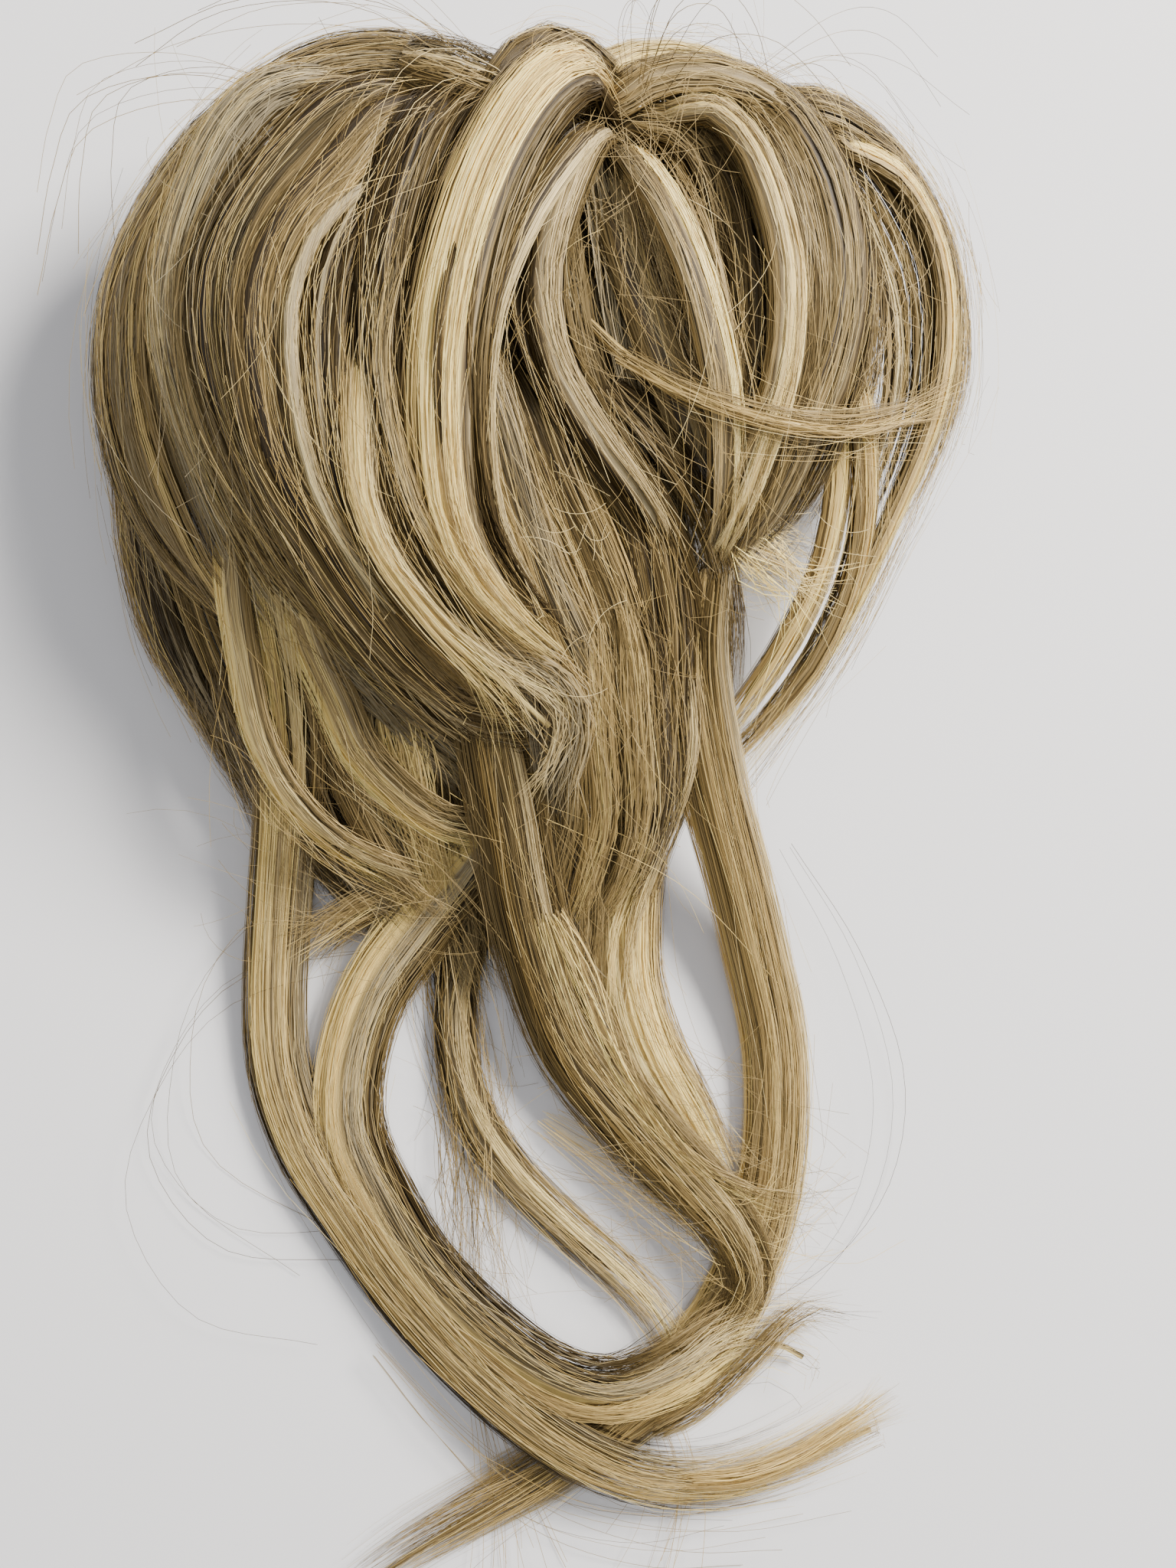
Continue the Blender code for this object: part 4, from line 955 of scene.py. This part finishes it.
def build_hair():
    """The inner bodies and the strands of every node."""
    spun = spun_fibre()
    combed = combed_fibre()
    rng = np.random.default_rng(SEED)
    routes = {}
    for name, (node, widest, tip, fray, _, stations) in LOCKS.items():
        free = node.startswith(("tendril", "filling"))
        sinks = (0 if free or name == "wisp" else 1, 1 if fray < SLIPS_BELOW and not free else 0)
        narrow = NARROW_ROOTS.get(name, ROOT_WIDTH)
        routes[name] = Route(stations, widest, tip, node.startswith("tendril"), sinks, narrow)
    for node in SLOTS:
        bodies = lock_bodies(node, routes, rng)
        if node == "filling_hair":
            bodies.append(filling_body())
        add_piece(node + "_body", bodies, True, combed, node)
        strands = lock_strands(node, routes, rng)
        if node == "filling_hair":
            add_piece("filling_hair_wraps", [filling_strands(WRAPS, rng)], False, spun, node)
        add_piece(node + "_strands", strands, False, spun, node)
    add_piece("flyaway_hairs", flyaways(routes, rng), False, spun, "filling_hair")
    add_piece("frizzy_hairs", frizz(rng), False, spun, "filling_hair")


def flyaways(routes, rng):
    """Fine hairs that have worked loose: they follow the locks at a distance or cross them."""
    grids = []
    for name, route in routes.items():
        count = int(route.length / MM * FLYAWAYS_PER_MM)
        low = rng.uniform(0, 0.65, (count, 1))
        share = low + rng.uniform(0.2, 0.7, (count, 1)) * np.linspace(0, 1, FLYAWAY_POINTS)[None]
        share = np.clip(share, 0, 1)
        wild = np.where(rng.random((count, 1)) < WILD_SHARE, WILD_REACH, 1.0)
        points = route.at(share, route.points)
        drift = np.linspace(-1, 1, FLYAWAY_POINTS)[None]
        across = rng.normal(0, 2.2, (count, 1)) + wild * (
            rng.normal(0, 1.5, (count, 1)) * drift + rng.normal(0, 1.2, (count, 1)) * drift ** 2)
        above = np.abs(rng.normal(0, 1.4, (count, 1))) + np.abs(rng.normal(0, 1.2, (count, 1))) * drift ** 2
        points = points + route.at(share, route.side) * (across * MM)[..., None]
        lift = (above + 0.6) * MM + route.at(share, route.depth)
        points = points + route.at(share, route.out) * lift[..., None]
        tones = rng.choice(["tan", "brown", "beige", "honey", "gold"], count)
        grids.append(ribbon_grid(points, FLYAWAY_WIDTH, tones, rng))
    for count, spread, tone, thick, stations in STRAYS:
        base, _ = smooth_curve(place(stations), max(10, len(stations) * 4))
        run = np.linspace(0, 1, len(base))[None, :, None]
        offset, swing = (
            rng.normal(0, 1, (count, 1, 3)).clip(-STRAY_LIMIT, STRAY_LIMIT) * spread * MM * (1, 1, 0.3)
            for _ in range(2))
        grids.append(ribbon_grid(base[None] + offset * (0.25 + run) + swing * run ** 2, thick * MM,
                                 np.full(count, tone), rng))
    return grids


def frizz(rng):
    """Short loose hairs, each a gentle arc, that lie over the locks in no strict order."""
    grids = []
    for count, tone, middle, spread, heading, varies, length in FRIZZ:
        run = np.linspace(-0.5, 0.5, FRIZZ_POINTS)[None]
        angle = heading + rng.normal(0, varies, (count, 1)) + rng.normal(0, 60, (count, 1)) * run
        step = length * MM / (FRIZZ_POINTS - 1) * rng.uniform(0.4, 1.3, (count, 1))
        rise = rng.normal(0, 0.1, (count, 1)) * run
        along = np.stack([np.sin(np.radians(angle)), -np.cos(np.radians(angle)), rise], -1)
        arc = np.cumsum(along * step[..., None], 1)
        start = place([middle])[0] + rng.normal(0, 1, (count, 1, 3)) * np.array(spread) * MM
        points = start + arc - arc.mean(1, keepdims=True)
        grids.append(ribbon_grid(points, FLYAWAY_WIDTH, np.full(count, tone), rng))
    return grids


def ribbon_grid(points, thick, tones, rng):
    """Flat ribbons along rows of points that lie mostly level."""
    count = len(points)
    points = points.copy()
    points[..., 2] = np.maximum(points[..., 2], LOOSE_CLEARANCE)
    ahead = unit(np.gradient(points, axis=1))
    broad = unit(np.cross(ahead, (0, 0, 1.0)))
    half = 0.5 * thick * rng.uniform(0.7, 1.2, (count, 1, 1))
    shade = np.array([TONES[tone] for tone in tones])[:, None, None] + rng.normal(0, 0.06, (count, 1, 1, 1))
    shade = np.clip(shade + np.zeros((*points.shape[:2], 2, 2)), *CARD_ENDS)
    return ribbon_corners(points, broad, half), shade


def halfway(first, second, mix):
    """A route between two locks."""
    route = copy(first)
    for name, value in vars(first).items():
        setattr(route, name, value * (1 - mix) + getattr(second, name) * mix)
    route.side = unit(route.side)
    route.out = unit(route.out)
    return route


def set_camera():
    """Camera at the photograph's place: almost overhead, from a little to the left."""
    aim = place([(*AIM, 0)])[0]
    data = bpy.data.cameras.new("camera")
    data.sensor_fit = "VERTICAL"
    data.sensor_height = SENSOR_HEIGHT
    data.lens = SENSOR_HEIGHT * FOCAL_PIXELS / IMAGE_HEIGHT
    camera = bpy.data.objects.new("camera", data)
    tilt = radians(CAMERA_TILT)
    camera.location = Vector(aim) + CAMERA_DISTANCE * Vector((-np.sin(tilt), 0, np.cos(tilt)))
    camera.rotation_euler = (0, -tilt, 0)
    bpy.context.scene.collection.objects.link(camera)
    bpy.context.scene.camera = camera


def add_light(name, place_at, size, power, colour):
    """A soft area light that faces the middle of the hairpiece."""
    data = bpy.data.lights.new(name, "AREA")
    data.shape = "DISK"
    data.size = size
    data.energy = power
    data.color = linear(colour)[:3]
    lamp = bpy.data.objects.new(name, data)
    lamp.location = place_at
    lamp.rotation_euler = (-Vector(place_at)).to_track_quat("-Z", "Y").to_euler()
    bpy.context.scene.collection.objects.link(lamp)


def set_studio():
    """Plain pale floor, a large soft key from the upper right, a weak fill and a dim sky."""
    bpy.ops.mesh.primitive_plane_add(size=FLOOR_SIZE)
    floor = bpy.context.object
    floor.name = "floor"
    floor.data.materials.append(painted_floor())
    add_light("key", (0.70, 0.60, 0.85), 0.50, 45, "#fffaf2")
    add_light("fill", (-0.3, 0.1, 1.3), 0.9, 5, "#fcfcff")
    world = bpy.data.worlds.new("sky")
    world.use_nodes = True
    world.node_tree.nodes["Background"].inputs["Color"].default_value = linear("#f1f2f3")
    world.node_tree.nodes["Background"].inputs["Strength"].default_value = 0.42
    bpy.context.scene.world = world


set_camera()
set_studio()
braided_elastic("elastic_band")
build_hair()
